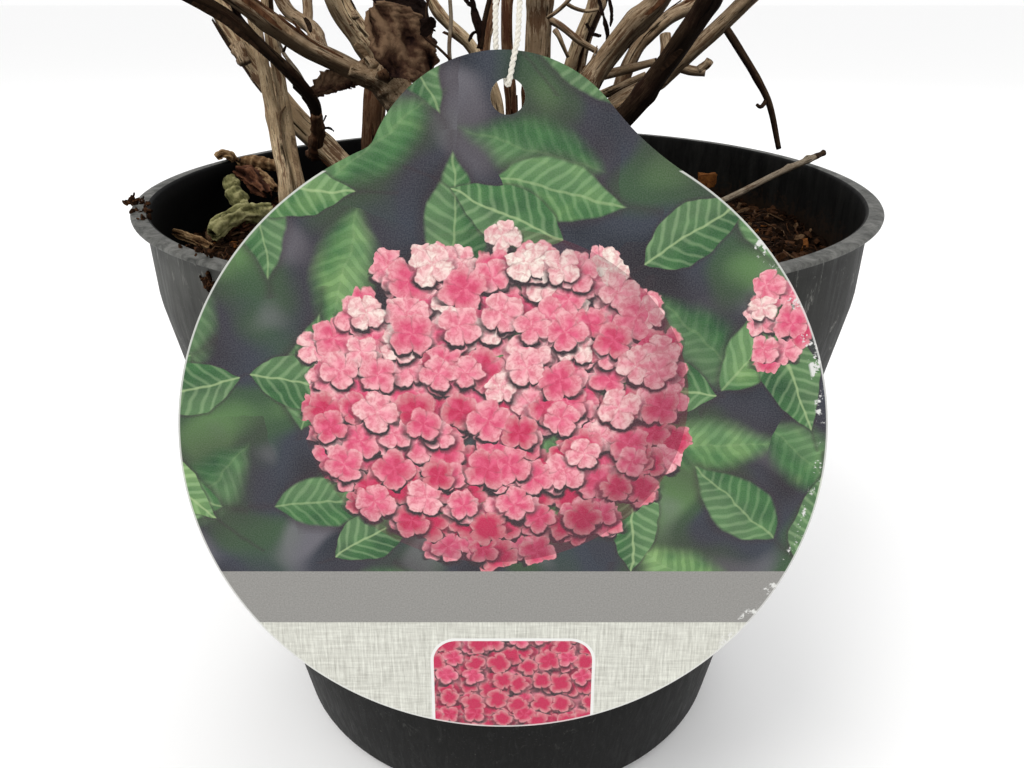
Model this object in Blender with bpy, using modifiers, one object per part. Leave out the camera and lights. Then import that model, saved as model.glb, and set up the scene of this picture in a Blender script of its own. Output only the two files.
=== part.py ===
"""A hydrangea shrub at rest for the winter, bare but for a few withered leaves, in a five litre nursery pot.

Units are metres, +Z is up, and the origin is the middle of the pot's flat underside. The front of the pot,
where the plant's picture card hangs, looks along -Y. The stems rise from one root stock in the soil. Every
limb is a tapering tube along a smooth line through a few stations, and ends inside the crown, where a mass
of bare twigs grows on from its tip by one seeded rule.
"""

import math
import random

import bmesh
import bpy
from mathutils import Vector

MM = 0.001
CLEAR = 0.3 * MM

# The nursery pot: a thin, slightly flared tub with a flat flange round its mouth
POT_HEIGHT = 190 * MM
FLANGE_RADIUS = 115 * MM
FLANGE_THICKNESS = 1.4 * MM
MOUTH_RADIUS = 111.4 * MM
WALL = 1.4 * MM
FLOOR = 1.6 * MM
BASE_RADIUS = 82 * MM
BASE_ROUNDING = 4 * MM
INNER_ROUNDING = 1.2 * MM
RIM_EASING = 0.5 * MM
FLARE_TOP = 166 * MM
FLARE_SLOPE = 0.1745
DRAIN_HOLES = 6
DRAIN_RADIUS = 6 * MM
DRAIN_CIRCLE = 64 * MM
TURN_STEPS = 40

# The soil stops below the rim and sinks a little towards the wall
SOIL_LEVEL = 175 * MM
SOIL_FLAT_RADIUS = 80 * MM
SOIL_SINK = 3 * MM
FOOT_LEVEL = SOIL_LEVEL + CLEAR

# The picture card: a round card with a lobe on top, hung in front of the pot and leaning back on its rim
CARD_RADIUS = 69.35 * MM
CARD_THICKNESS = 0.6 * MM
CARD_LEAN = math.radians(7.68)
CARD_BELOW_RIM = 34.9 * MM
CARD_OFF_CENTRE = -0.9 * MM
LOBE_RADIUS = 27 * MM
LOBE_RISE = 54.8 * MM
HOLE_RADIUS = 3.3 * MM
HOLE_PLACE = (1.0 * MM, 73.6 * MM)

# The string that holds the card is one closed loop laid over a bough
STRING_RADIUS = 0.6 * MM
STRING_STEP = 5 * MM

# The crown: the twigs' tips lie on a dome over the pot's middle
PLANT_HEIGHT = 610 * MM
CROWN_RADIUS = 205 * MM
CROWN_DROP = 165 * MM
CROWN_FLOOR = 258 * MM

# The twigs: opposite pairs, each pair a quarter turn from the last, as the plant sets its buds
SEED = 11
NODE_STEP = 36 * MM
FIRST_NODE = 26 * MM
BARE_TIP = 26 * MM
LEADER_TIP_RADIUS = 1.1
TWIG_RADII = (1.35, 0.85)
TWIG_LENGTH = 104 * MM
TWIG_CUTS = (1.0, 0.8, 0.6, 0.42)
TWIG_ANGLE = math.radians(48)
TWIG_LIFT = 0.45
OWN_SPACE_MARGIN = 5 * MM
LIMB_MARGIN = 2.4 * MM
LEADER_STEP = 30 * MM
LEADER_LEAN = 0.35

# The limbs: how far apart their centre lines are sampled, and how a foot stands and flares
LIMB_STEP = 11 * MM
UPRIGHT_FOOT = 3 * MM
FLARE_RUN = 7 * MM

# Each limb: the limbs it grows from, its diameters at foot and tip in millimetres, how much wider its root
# flare is, and the stations of its centre line in millimetres. A limb that grows from another starts inside
# that one and is cut clear of it. A limb with none starts on the soil, where its height is left out.
LIMBS = {
    "trunk_left": ((), 13.4, 10.6, 1.35, ((-14, -8), (-19, -9, 192), (-28, -11, 210), (-36, -12, 223))),
    "trunk_right": ((), 13.0, 10.4, 1.35, ((6, -7), (9, -7, 190), (19, -5.5, 208))),
    "bough_left_upright": (
        ("trunk_left",), 7.2, 6.2, 1.0,
        ((-35, -12, 221), (-41, -13, 232), (-48.5, -15, 244.5), (-58, -21, 285), (-62, -28, 320)),
    ),
    "bough_left": (
        ("trunk_left", "bough_left_upright"), 6.2, 4.4, 1.0,
        ((-34, -12, 219), (-46, -15, 226), (-59, -21, 233.2), (-72, -30, 244.4), (-91, -34, 259), (-122, -30, 297)),
    ),
    "stem_left_pale_front": (
        (), 4.1, 3.3, 1.25,
        ((-70, -18), (-69, -16, 192), (-71, -12, 202.5), (-72.7, -9, 217), (-75.2, -8, 241), (-84, -12, 305)),
    ),
    "stem_left_pale_back": (
        (), 4.1, 3.4, 1.25,
        ((-64.5, -12), (-66, -12, 193), (-68, -8.5, 202), (-69.6, -5.2, 216), (-72, -2, 244.3), (-74, 22, 308)),
    ),
    "stem_left_low": (
        (), 7.8, 5.6, 1.3,
        ((-39, -2), (-55, 0, 197), (-68, 4, 209), (-78.7, 8, 222), (-92.5, 13, 244.3), (-119, 29, 298)),
    ),
    "bough_left_dark": (
        ("stem_left_low",), 3.4, 4.3, 1.0,
        (
            (-62, 1.5, 203.8), (-59.4, -6, 210.9), (-59, -11.5, 216.3), (-61.5, -18.5, 222.9), (-67.3, -24, 230.8),
            (-76.1, -29.5, 240.2), (-84, -34.5, 245.8), (-106, -50, 262), (-122, -66, 286),
        ),
    ),
    "bough_left_back": (
        ("bough_left",), 4.4, 3.4, 1.0,
        ((-53.5, -18.5, 230.7), (-58.5, -6, 236.8), (-69, 6, 243), (-96, 44, 298)),
    ),
    "twig_left_upright": (
        ("bough_left_back",), 3.2, 2.6, 1.0,
        ((-60.3, -4, 237.6), (-60.5, 0, 241), (-60.7, 1.5, 245), (-59, 6, 274)),
    ),
    "stem_rear_left": (
        (), 8.2, 4.8, 1.3,
        ((-44, 13), (-45, 11, 202), (-44, 11, 213), (-41, 14, 230), (-40, 22, 255), (-50, 44, 313)),
    ),
    "stem_ochre": ((), 3.8, 3.2, 1.3, ((-4, 8), (-3, 9, 212), (-11, 10, 230), (-24, 12, 244.5), (-40, 20, 305))),
    "stem_red": ((), 3.5, 3.0, 1.3, ((-9, 17), (-8, 14.5, 215), (-7, 16, 233), (-4.5, 22, 244.5), (-12, 62, 303))),
    "stem_rear": ((), 4.2, 3.3, 1.3, ((3, 20), (1, 21, 215), (0, 26, 231), (0, 35, 244.5), (6, 84, 294))),
    "stem_middle": (
        (), 8.8, 5.6, 1.3,
        ((8, 9), (9, 6, 215), (10, 5, 244.5), (9, -10, 278), (6, -48, 318), (4, -78, 347)),
    ),
    "twig_link": (("stem_middle",), 2.4, 1.8, 1.0, ((10, 5, 240), (16, 4, 237.4), (22.5, 3, 232.8), (28, 2, 229.8))),
    "stem_right_pale": (
        (), 4.0, 3.2, 1.3,
        ((13, 19), (17, 12, 212), (20.3, 10, 225.5), (23.8, 11, 235), (27, 12, 243), (42, 6, 313)),
    ),
    "stem_right_back": ((), 4.9, 3.6, 1.3, ((20, 14), (22, 15, 210), (25, 17, 232), (30, 20, 244.5), (46, 50, 309))),
    "bough_right_upright": (
        ("trunk_right",), 7.4, 5.0, 1.0,
        ((18, -5.7, 206), (25, -5.5, 221), (36, -9, 236.5), (43.5, -12, 244.5), (66, -24, 285), (74, -32, 320)),
    ),
    "bough_right_dark": (
        ("trunk_right",), 6.6, 5.0, 1.0,
        ((10, -7, 190), (24, -12.5, 201), (35, -18, 213), (45, -25, 228), (53, -36, 244.5), (70, -84, 300)),
    ),
    "bough_right": (
        ("trunk_right", "bough_right_upright"), 5.6, 3.9, 1.0,
        (
            (15, -6, 200), (27, -2, 209.5), (36.6, -2, 216.4), (47, -4, 222.2),
            (58.5, -6, 232.8), (70, -8, 244.4), (112, -14, 290),
        ),
    ),
    "stem_right_knee": (
        (), 4.2, 3.6, 1.3,
        ((27, 4), (33, 5, 205), (40.5, 6, 212.6), (46.6, 7, 220.4), (51, 9.5, 228), (50.6, 12.5, 234.3)),
    ),
    "stem_right_rear": (
        (), 5.0, 3.8, 1.3,
        ((31, 17), (35, 13, 209), (41.5, 14, 229), (50.8, 16, 238.5), (60.8, 20, 244.4), (92, 46, 293)),
    ),
    "twig_hanging": (
        ("bough_right",), 2.5, 1.6, 1.0,
        ((64.5, -7, 237.5), (69.9, -9, 230.2), (75.1, -9.5, 223.3), (80, -10, 215.5), (84.8, -10, 202.2)),
    ),
    "twig_short_spur": (("bough_right",), 3.4, 2.8, 1.0, ((51, -4.8, 226.5), (56, -5, 224.8), (60.5, -6, 224.4))),
    "twig_stub": (("bough_right_upright",), 3.2, 2.2, 1.0, ((27, -6, 223), (35.6, -1, 224.4), (45.7, -1, 227))),
    "twig_crossing": (("stem_right_back",), 3.2, 2.6, 1.0, ((22.5, 15, 213), (30, 9, 216), (44, 4, 222.6))),
}

# The exact solver loses this bough, which leaves its trunk beside another at a small angle
LOST_BY_EXACT = ("bough_right",)

# The masses of twigs: the limb each grows on from, its bearing about the pot's middle in degrees from +X
# towards +Y, and how far out its tip lies on the dome, from 0 in the middle to 1 at the crown's edge.
MASSES = {
    "twigs_front_left": ("bough_left_dark", 222, 0.95),
    "twigs_left": ("bough_left", 190, 1.0),
    "twigs_left_inner": ("bough_left_upright", 205, 0.45),
    "twigs_left_pale_front": ("stem_left_pale_front", 186, 0.64),
    "twigs_left_pale_back": ("stem_left_pale_back", 158, 0.52),
    "twigs_left_low": ("stem_left_low", 165, 0.93),
    "twigs_left_rear": ("bough_left_back", 141, 0.82),
    "twigs_rear_left": ("stem_rear_left", 123, 0.5),
    "twigs_top": ("stem_ochre", 175, 0.14),
    "twigs_top_right": ("stem_right_pale", 5, 0.2),
    "twigs_rear_inner": ("stem_red", 101, 0.62),
    "twigs_rear": ("stem_rear", 84, 0.95),
    "twigs_front": ("stem_middle", 266, 0.76),
    "twigs_right_back": ("stem_right_back", 58, 0.42),
    "twigs_right_inner": ("bough_right_upright", 338, 0.48),
    "twigs_front_right": ("bough_right_dark", 300, 0.88),
    "twigs_right": ("bough_right", 352, 0.98),
    "twigs_right_rear": ("stem_right_rear", 34, 0.9),
}

# Withered leaves: centre in millimetres, turns about X, Y and Z in degrees, length, width, curl and colour.
# Curl is the share of a full turn that the blade rolls up across its width.
LEAVES = {
    "withered_leaf_trunk": ((-29.3, -24, 234.2), (78, 35, 8), 22, 18, 0.30, "leaf_brown"),
    "withered_leaf_hanging": ((-50.7, -12.5, 220.8), (-60, 8, 2), 14, 9, 0.42, "leaf_brown"),
    "fallen_leaf_green": ((-91, 8, 178.8), (8, -6, 62), 26, 15, 0.36, "leaf_green"),
    "fallen_leaf_brown": ((-95, 34.5, 188.4), (10, -26, 160), 17, 11, 0.30, "leaf_brown"),
}
LEAF_THICKNESS = 0.7 * MM
LEAF_RIPPLE = 0.06

# A loose stick lies on the soil with its far end over the rim
STICK_ENDS = ((41, -22, 177.2), (114, 30, 194.3))
STICK_DIAMETER = 2.6

COLOURS = {
    "pot_plastic": ((0.045, 0.045, 0.048), 0.55),
    "soil": ((0.035, 0.022, 0.015), 0.95),
    "bark_tan": ((0.30, 0.20, 0.13), 0.85),
    "bark_dark": ((0.055, 0.035, 0.026), 0.8),
    "bark_twig": ((0.26, 0.15, 0.09), 0.75),
    "leaf_brown": ((0.07, 0.035, 0.02), 0.85),
    "leaf_green": ((0.11, 0.13, 0.06), 0.8),
    "card_print": ((0.62, 0.30, 0.36), 0.35),
    "string": ((0.80, 0.78, 0.70), 0.9),
}


def start_scene():
    """Clears the scene and adds the two collections: the shrub's parts and the cutters."""
    for obj in list(bpy.data.objects):
        bpy.data.objects.remove(obj, do_unlink=True)
    bpy.context.scene.unit_settings.system = "METRIC"
    made = {}
    for name in ("hydrangea_shrub", "cutters"):
        made[name] = bpy.data.collections.new(name)
        bpy.context.scene.collection.children.link(made[name])
    made["cutters"].hide_render = True
    return made["hydrangea_shrub"], made["cutters"]


def make_material(name):
    colour, roughness = COLOURS[name]
    material = bpy.data.materials.new(name)
    material.use_nodes = True
    shader = material.node_tree.nodes["Principled BSDF"]
    shader.inputs["Base Color"].default_value = (*colour, 1.0)
    shader.inputs["Roughness"].default_value = roughness
    material.diffuse_color = (*colour, 1.0)
    return material


def add_object(name, data, collection, colour=None):
    obj = bpy.data.objects.new(name, data)
    collection.objects.link(obj)
    if colour:
        obj.data.materials.append(make_material(colour))
    return obj


def as_cutter(obj):
    obj.hide_render = True
    obj.display_type = "WIRE"
    return obj


def add_boolean(obj, operation, cutter, solver="EXACT"):
    modifier = obj.modifiers.new(operation.title(), "BOOLEAN")
    modifier.operation = operation
    modifier.solver = solver
    modifier.object = cutter


def turned(name, profile, collection, colour):
    """A round solid from a profile of (radius, height) that runs from the axis out and down to the axis."""
    mesh = bpy.data.meshes.new(name)
    body = bmesh.new()
    corners = [body.verts.new((radius, 0.0, height)) for radius, height in profile]
    for first, second in zip(corners, corners[1:]):
        body.edges.new((first, second))
    body.to_mesh(mesh)
    body.free()
    obj = add_object(name, mesh, collection, colour)
    screw = obj.modifiers.new("Turn", "SCREW")
    screw.steps = TURN_STEPS
    screw.render_steps = TURN_STEPS
    screw.use_merge_vertices = True
    screw.merge_threshold = 0.00001
    screw.use_smooth_shade = True
    return obj


def wall_radius(height):
    """The outer radius of the pot's wall: an even flare, then nearly upright below the flange."""
    flared = BASE_RADIUS + FLARE_SLOPE * min(height, FLARE_TOP)
    return flared + (MOUTH_RADIUS - BASE_RADIUS - FLARE_SLOPE * FLARE_TOP) * max(
        0.0, (height - FLARE_TOP) / (POT_HEIGHT - FLARE_TOP)
    )


def pot_profile():
    under_flange = POT_HEIGHT - FLANGE_THICKNESS
    inside = [(0.0, FLOOR), (wall_radius(FLOOR) - WALL - INNER_ROUNDING, FLOOR)]
    inside += [(wall_radius(z) - WALL, z) for z in (FLOOR + INNER_ROUNDING, FLARE_TOP, POT_HEIGHT - 2 * RIM_EASING)]
    rim = [(MOUTH_RADIUS - WALL + RIM_EASING, POT_HEIGHT), (FLANGE_RADIUS - RIM_EASING, POT_HEIGHT)]
    rim += [(FLANGE_RADIUS, POT_HEIGHT - RIM_EASING), (FLANGE_RADIUS - RIM_EASING / 2, under_flange)]
    outside = [(wall_radius(z), z) for z in (under_flange, FLARE_TOP, BASE_ROUNDING)]
    half_turn_in = BASE_ROUNDING * (1 - math.cos(math.radians(45)))
    foot = [(BASE_RADIUS - half_turn_in, half_turn_in), (BASE_RADIUS - BASE_ROUNDING, 0.0)]
    return inside + rim + outside + foot + [(0.0, 0.0)]


def add_pot(collection, cutters):
    pot = turned("pot", pot_profile(), collection, "pot_plastic")
    drain = bmesh.new()
    for hole in range(DRAIN_HOLES):
        turn = 2 * math.pi * (hole + 0.5) / DRAIN_HOLES
        made = bmesh.ops.create_cone(
            drain, cap_ends=True, segments=12, radius1=DRAIN_RADIUS, radius2=DRAIN_RADIUS, depth=6 * FLOOR
        )
        place = (DRAIN_CIRCLE * math.cos(turn), DRAIN_CIRCLE * math.sin(turn), 0.0)
        bmesh.ops.translate(drain, verts=made["verts"], vec=place)
    mesh = bpy.data.meshes.new("drain_cutter")
    drain.to_mesh(mesh)
    drain.free()
    add_boolean(pot, "DIFFERENCE", as_cutter(add_object("drain_cutter", mesh, cutters)))


def add_soil(collection):
    """The soil, clear of the pot's wall and floor and cut off at the rounding between them."""
    low = FLOOR + 2 * INNER_ROUNDING
    side = [(wall_radius(z) - WALL - CLEAR, z) for z in (SOIL_LEVEL - SOIL_SINK, FLARE_TOP, low)]
    bottom = FLOOR + CLEAR
    top = [(0.0, SOIL_LEVEL), (SOIL_FLAT_RADIUS, SOIL_LEVEL)]
    turned("soil", top + side + [(side[-1][0] - 2 * INNER_ROUNDING, bottom), (0.0, bottom)], collection, "soil")


def smooth_line(stations, step, cyclic=False):
    """Points about a step apart along a smooth line through the stations."""
    last = len(stations) - 1
    points = []
    spans = last + 1 if cyclic else last

    def station(index):
        if cyclic:
            return stations[index % (last + 1)]
        if index < 0:
            return stations[0] * 2 - stations[1]
        if index > last:
            return stations[last] * 2 - stations[last - 1]
        return stations[index]

    for span in range(spans):
        before, start, end, after = (station(span + offset) for offset in (-1, 0, 1, 2))
        length = (end - start).length
        lean_in = (end - before) * (length / max((end - start).length + (start - before).length, 1e-9))
        lean_out = (after - start) * (length / max((after - end).length + (end - start).length, 1e-9))
        pieces = max(1, round(length / step))
        for piece in range(pieces):
            t = piece / pieces
            points.append(
                start * (2 * t**3 - 3 * t**2 + 1)
                + lean_in * (t**3 - 2 * t**2 + t)
                + end * (3 * t**2 - 2 * t**3)
                + lean_out * (t**3 - t**2)
            )
    if not cyclic:
        points.append(stations[-1])
    return points


def limb_line(name):
    """The centre line and radii in millimetres of a limb. A limb from the soil starts upright, to be cut flat."""
    _, foot_diameter, tip_diameter, flare, stations = LIMBS[name]
    rooted = len(stations[0]) == 2
    places = [Vector(place) * MM for place in stations[rooted:]]
    if rooted:
        foot = Vector((stations[0][0] * MM, stations[0][1] * MM, FOOT_LEVEL))
        places.insert(0, foot + Vector((0, 0, UPRIGHT_FOOT)))
    points = smooth_line(places, LIMB_STEP)
    if rooted:
        points.insert(0, foot)
    travelled = [0.0]
    for first, second in zip(points, points[1:]):
        travelled.append(travelled[-1] + (second - first).length)
    radii = []
    for run in travelled:
        share = run / travelled[-1]
        flared = 1 + (flare - 1) * math.exp(-run / FLARE_RUN)
        radii.append((foot_diameter + (tip_diameter - foot_diameter) * share) / 2 * flared)
    return points, radii


def tube(name, points, radii, collection, colour=None, resolution=1, cyclic=False):
    """A curve object with a round bevel, of the given radii in millimetres."""
    curve = bpy.data.curves.new(name, "CURVE")
    curve.dimensions = "3D"
    curve.bevel_depth = MM
    curve.bevel_resolution = resolution
    curve.use_fill_caps = True
    spline = curve.splines.new("POLY")
    spline.points.add(len(points) - 1)
    for corner, point, radius in zip(spline.points, points, radii):
        corner.co = (*point, 1.0)
        corner.radius = radius
    spline.use_cyclic_u = cyclic
    return add_object(name, curve, collection, colour)


def as_mesh(obj, collection):
    """The curve as one closed mesh, with its caps welded on. The curve is removed."""
    depsgraph = bpy.context.evaluated_depsgraph_get()
    mesh = bpy.data.meshes.new_from_object(obj.evaluated_get(depsgraph))
    body = bmesh.new()
    body.from_mesh(mesh)
    bmesh.ops.remove_doubles(body, verts=body.verts, dist=1e-6)
    bmesh.ops.recalc_face_normals(body, faces=body.faces)
    body.to_mesh(mesh)
    body.free()
    name, place = obj.name, obj.matrix_world.copy()
    curve = obj.data
    bpy.data.objects.remove(obj, do_unlink=True)
    bpy.data.curves.remove(curve)
    made = add_object(name, mesh, collection)
    made.matrix_world = place
    return made


def add_limbs(lines, collection, cutters):
    """Each limb as a tube, cut 0.3 mm clear of the limbs it grows from."""
    cutter_of = {}
    for name, (points, radii) in lines.items():
        parents = LIMBS[name][0]
        dark = "dark" in name or name == "twig_hanging"
        limb = tube(name, points, radii, collection, "bark_dark" if dark else "bark_tan")
        if not parents:
            continue
        limb = as_mesh(limb, collection)
        for parent in parents:
            if parent not in cutter_of:
                line, widths = lines[parent]
                onward = (line[-1] - line[-2]).normalized() * CLEAR
                line = line[:-1] + [line[-1] + onward]
                wider = [radius + CLEAR / MM for radius in widths]
                cutter = tube(f"{parent}_cutter", line, wider, cutters)
                cutter_of[parent] = as_cutter(as_mesh(cutter, cutters))
            solver = "MANIFOLD" if name in LOST_BY_EXACT else "EXACT"
            add_boolean(limb, "DIFFERENCE", cutter_of[parent], solver)


def crown_point(bearing, share):
    """The place on the crown's dome for a bearing in degrees and a share of the crown's radius."""
    turn = math.radians(bearing)
    out = CROWN_RADIUS * share
    return Vector((out * math.cos(turn), out * math.sin(turn), PLANT_HEIGHT - CROWN_DROP * share**2))


def leader_line(mass, lines):
    """The main twig of a mass, from just past its limb's tip to the dome, bending upwards."""
    limb, bearing, share = MASSES[mass]
    points, radii = lines[limb]
    onward = (points[-1] - points[-2]).normalized()
    start = points[-1] + onward * CLEAR
    end = crown_point(bearing, share)
    length = (end - start).length
    upward = (Vector((end.x, end.y, 0)).normalized() * LEADER_LEAN + Vector((0, 0, 1))).normalized()
    pieces = max(5, round(length / LEADER_STEP))
    line = []
    for piece in range(pieces + 1):
        t = piece / pieces
        line.append(
            start * (2 * t**3 - 3 * t**2 + 1)
            + onward * length * (t**3 - 2 * t**2 + t)
            + end * (3 * t**2 - 2 * t**3)
            + upward * length * (t**3 - t**2)
        )
    thick = radii[-1]
    widths = [thick + (LEADER_TIP_RADIUS - thick) * piece / pieces for piece in range(pieces + 1)]
    return line, widths


def distance_to_line(point, line):
    """The least distance from a point to a line of short straight pieces."""
    least = math.inf
    for start, end in zip(line, line[1:]):
        along = end - start
        share = max(0.0, min(1.0, (point - start).dot(along) / along.length_squared))
        least = min(least, (point - start - along * share).length)
    return least


def keeps_clear(points, mass, leaders, obstacles):
    """Whether a twig stays in its mass's own space, above the crown's floor and off every limb."""
    for point in points:
        if point.z < CROWN_FLOOR:
            return False
        own = distance_to_line(point, leaders[mass][0])
        for other, (line, _) in leaders.items():
            if other != mass and distance_to_line(point, line) < own + OWN_SPACE_MARGIN:
                return False
        for line, radius in obstacles:
            if distance_to_line(point, line) < radius * MM + LIMB_MARGIN:
                return False
    return True


def twig_lines(mass, leaders, obstacles, chance):
    """The side twigs of a mass: decussate pairs along its leader, each bending upwards."""
    line, _ = leaders[mass]
    travelled = [0.0]
    for first, second in zip(line, line[1:]):
        travelled.append(travelled[-1] + (second - first).length)
    whole = travelled[-1]
    run = FIRST_NODE * chance.uniform(0.8, 1.1)
    turn = chance.uniform(0, math.pi)
    twigs = []
    while run < whole - BARE_TIP:
        piece = max(index for index, length in enumerate(travelled[:-1]) if length <= run)
        start, end = line[piece], line[piece + 1]
        along = (end - start).normalized()
        node = start + along * (run - travelled[piece])
        across = along.orthogonal().normalized()
        across = across * math.cos(turn) + along.cross(across) * math.sin(turn)
        for side in (1, -1):
            heading = (along * math.cos(TWIG_ANGLE) + across * side * math.sin(TWIG_ANGLE)).normalized()
            full = TWIG_LENGTH * (1 - 0.5 * run / whole) * chance.uniform(0.75, 1.15)
            for shorter in TWIG_CUTS:
                length = full * shorter
                lifted = (heading + Vector((0, 0, TWIG_LIFT))).normalized()
                middle = node + heading * length * 0.5
                tip = middle + lifted * length * 0.5
                tested = [node.lerp(middle, 0.5), middle, middle.lerp(tip, 0.5), tip]
                if keeps_clear(tested, mass, leaders, obstacles):
                    twigs.append([node, middle, tip])
                    break
        run += NODE_STEP * chance.uniform(0.85, 1.15)
        turn += math.pi / 2
    return twigs


def three_sided_bevel(collection):
    """The outline that every twig is drawn out of: a triangle with corners 1 mm from its middle."""
    curve = bpy.data.curves.new("twig_outline", "CURVE")
    curve.dimensions = "2D"
    spline = curve.splines.new("POLY")
    spline.points.add(2)
    for side, corner in enumerate(spline.points):
        turn = 2 * math.pi * side / 3
        corner.co = (MM * math.cos(turn), MM * math.sin(turn), 0, 1)
    spline.use_cyclic_u = True
    return as_cutter(add_object("twig_outline", curve, collection))


def twig_mesh(name, points, radii, outline, collection):
    twig = tube(name, points, radii, collection)
    twig.data.bevel_mode = "OBJECT"
    twig.data.bevel_object = outline
    return as_mesh(twig, collection)


def add_mass(mass, leader, twigs, outline, collection):
    """One mass: its leader and all its side twigs, joined by one union into a single solid."""
    obj = twig_mesh(mass, leader[0], leader[1], outline, collection)
    joined = bpy.data.collections.new(f"{mass}_twigs")
    bpy.context.scene.collection.children.link(joined)
    for index, points in enumerate(twigs):
        middle = (TWIG_RADII[0] + TWIG_RADII[1]) / 2
        twig_mesh(f"{mass}_{index}", points, (TWIG_RADII[0], middle, TWIG_RADII[1]), outline, joined)
    union = obj.modifiers.new("Union", "BOOLEAN")
    union.operation = "UNION"
    union.operand_type = "COLLECTION"
    union.collection = joined
    union.solver = "EXACT"
    depsgraph = bpy.context.evaluated_depsgraph_get()
    mesh = bpy.data.meshes.new_from_object(obj.evaluated_get(depsgraph))
    obj.modifiers.clear()
    obj.data = mesh
    mesh.materials.clear()
    mesh.materials.append(make_material("bark_twig"))
    for twig in list(joined.objects):
        bpy.data.objects.remove(twig, do_unlink=True)
    bpy.data.collections.remove(joined)
    return obj


def card_place(across, up, forward):
    """The world place of a point on the card, from the middle of its disc. Forward is out of its front."""
    lean, rise = math.sin(CARD_LEAN), math.cos(CARD_LEAN)
    contact = Vector((CARD_OFF_CENTRE, -FLANGE_RADIUS, POT_HEIGHT - 0.5 * MM))
    up_axis = Vector((0, lean, rise))
    out_axis = Vector((0, -rise, lean))
    middle = contact - up_axis * CARD_BELOW_RIM + out_axis * (CLEAR + CARD_THICKNESS / 2)
    return middle + Vector((across, 0, 0)) + up_axis * up + out_axis * forward


def arc(middle, radius, start, end, pieces):
    """Points round an arc, with angles in radians from the card's upright, clockwise."""
    turns = [start + (end - start) * piece / pieces for piece in range(pieces + 1)]
    return [(middle[0] + radius * math.sin(turn), middle[1] + radius * math.cos(turn)) for turn in turns]


def add_card(collection):
    """The card as a flat outline with a hole: a disc, and a smaller lobe that crosses its edge at two notches."""
    notch_height = (CARD_RADIUS**2 - LOBE_RADIUS**2 + LOBE_RISE**2) / (2 * LOBE_RISE)
    notch = math.acos(notch_height / CARD_RADIUS)
    lobe = math.acos((notch_height - LOBE_RISE) / LOBE_RADIUS)
    outline = arc((0, 0), CARD_RADIUS, notch, 2 * math.pi - notch, 52)
    outline += arc((0, LOBE_RISE), LOBE_RADIUS, -lobe, lobe, 16)[1:-1]
    hole = arc(HOLE_PLACE, HOLE_RADIUS, 0, 2 * math.pi, 14)[:-1]
    curve = bpy.data.curves.new("label_card", "CURVE")
    curve.dimensions = "2D"
    curve.fill_mode = "BOTH"
    curve.extrude = CARD_THICKNESS / 2
    for ring in (outline, hole):
        spline = curve.splines.new("POLY")
        spline.points.add(len(ring) - 1)
        for corner, place in zip(spline.points, ring):
            corner.co = (*place, 0, 1)
        spline.use_cyclic_u = True
    card = add_object("label_card", curve, collection, "card_print")
    card.location = card_place(0, 0, 0)
    card.rotation_euler = (math.pi / 2 - CARD_LEAN, 0, 0)


def string_line():
    """The string: through the card's hole, up both faces of the lobe and over the middle stem's bough."""
    across, hole_up = HOLE_PLACE
    turn_height = hole_up + HOLE_RADIUS
    stand_off = CARD_THICKNESS / 2 + CLEAR + STRING_RADIUS
    stations = [
        card_place(across, turn_height - stand_off, 0),
        card_place(across + 0.2 * MM, turn_height - 0.7 * stand_off, 0.75 * stand_off),
        card_place(across + 0.4 * MM, turn_height, stand_off),
        card_place(across + 1.4 * MM, LOBE_RISE + LOBE_RADIUS, stand_off),
        card_place(across + 1.8 * MM, LOBE_RISE + LOBE_RADIUS + 1.6 * MM, 0.4 * stand_off),
    ]
    loop = (
        (3.4, -98, 262), (6.6, -80, 298), (9.6, -66, 327), (9.8, -61.5, 334),
        (5.2, -58.6, 338), (0.8, -61.5, 334), (0.6, -66, 327), (-0.8, -80, 298), (-1.5, -98, 262),
    )
    stations += [Vector(place) * MM for place in loop]
    stations += [
        card_place(across - 2.2 * MM, LOBE_RISE + LOBE_RADIUS, -1.2 * stand_off),
        card_place(across - 0.4 * MM, turn_height, -stand_off),
        card_place(across - 0.2 * MM, turn_height - 0.7 * stand_off, -0.75 * stand_off),
    ]
    return smooth_line(stations, STRING_STEP, cyclic=True)


def add_leaf(name, collection):
    """A withered leaf: a pointed blade, rolled up across its width and rippled along it."""
    centre, turns, length, width, curl, colour = LEAVES[name]
    blade = bmesh.new()
    bmesh.ops.create_grid(blade, x_segments=9, y_segments=5, size=0.5)
    for corner in blade.verts:
        along, across = corner.co.x, corner.co.y * 2
        outline = max(0.12, math.cos(math.pi * along * 0.94) ** 0.75)
        roll = math.pi * curl * across
        reach = width * MM / 2 * outline / (math.pi * curl)
        ripple = LEAF_RIPPLE * length * MM * math.sin(9 * along + 2.2 * across) * abs(across)
        sag = -0.35 * length * MM * along**2
        height = reach * (1 - math.cos(roll)) + ripple + sag
        corner.co = (along * length * MM, reach * math.sin(roll), height)
    mesh = bpy.data.meshes.new(name)
    blade.to_mesh(mesh)
    blade.free()
    leaf = add_object(name, mesh, collection, colour)
    leaf.location = Vector(centre) * MM
    leaf.rotation_euler = [math.radians(turn) for turn in turns]
    solid = leaf.modifiers.new("Thickness", "SOLIDIFY")
    solid.thickness = LEAF_THICKNESS
    solid.offset = 0


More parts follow.
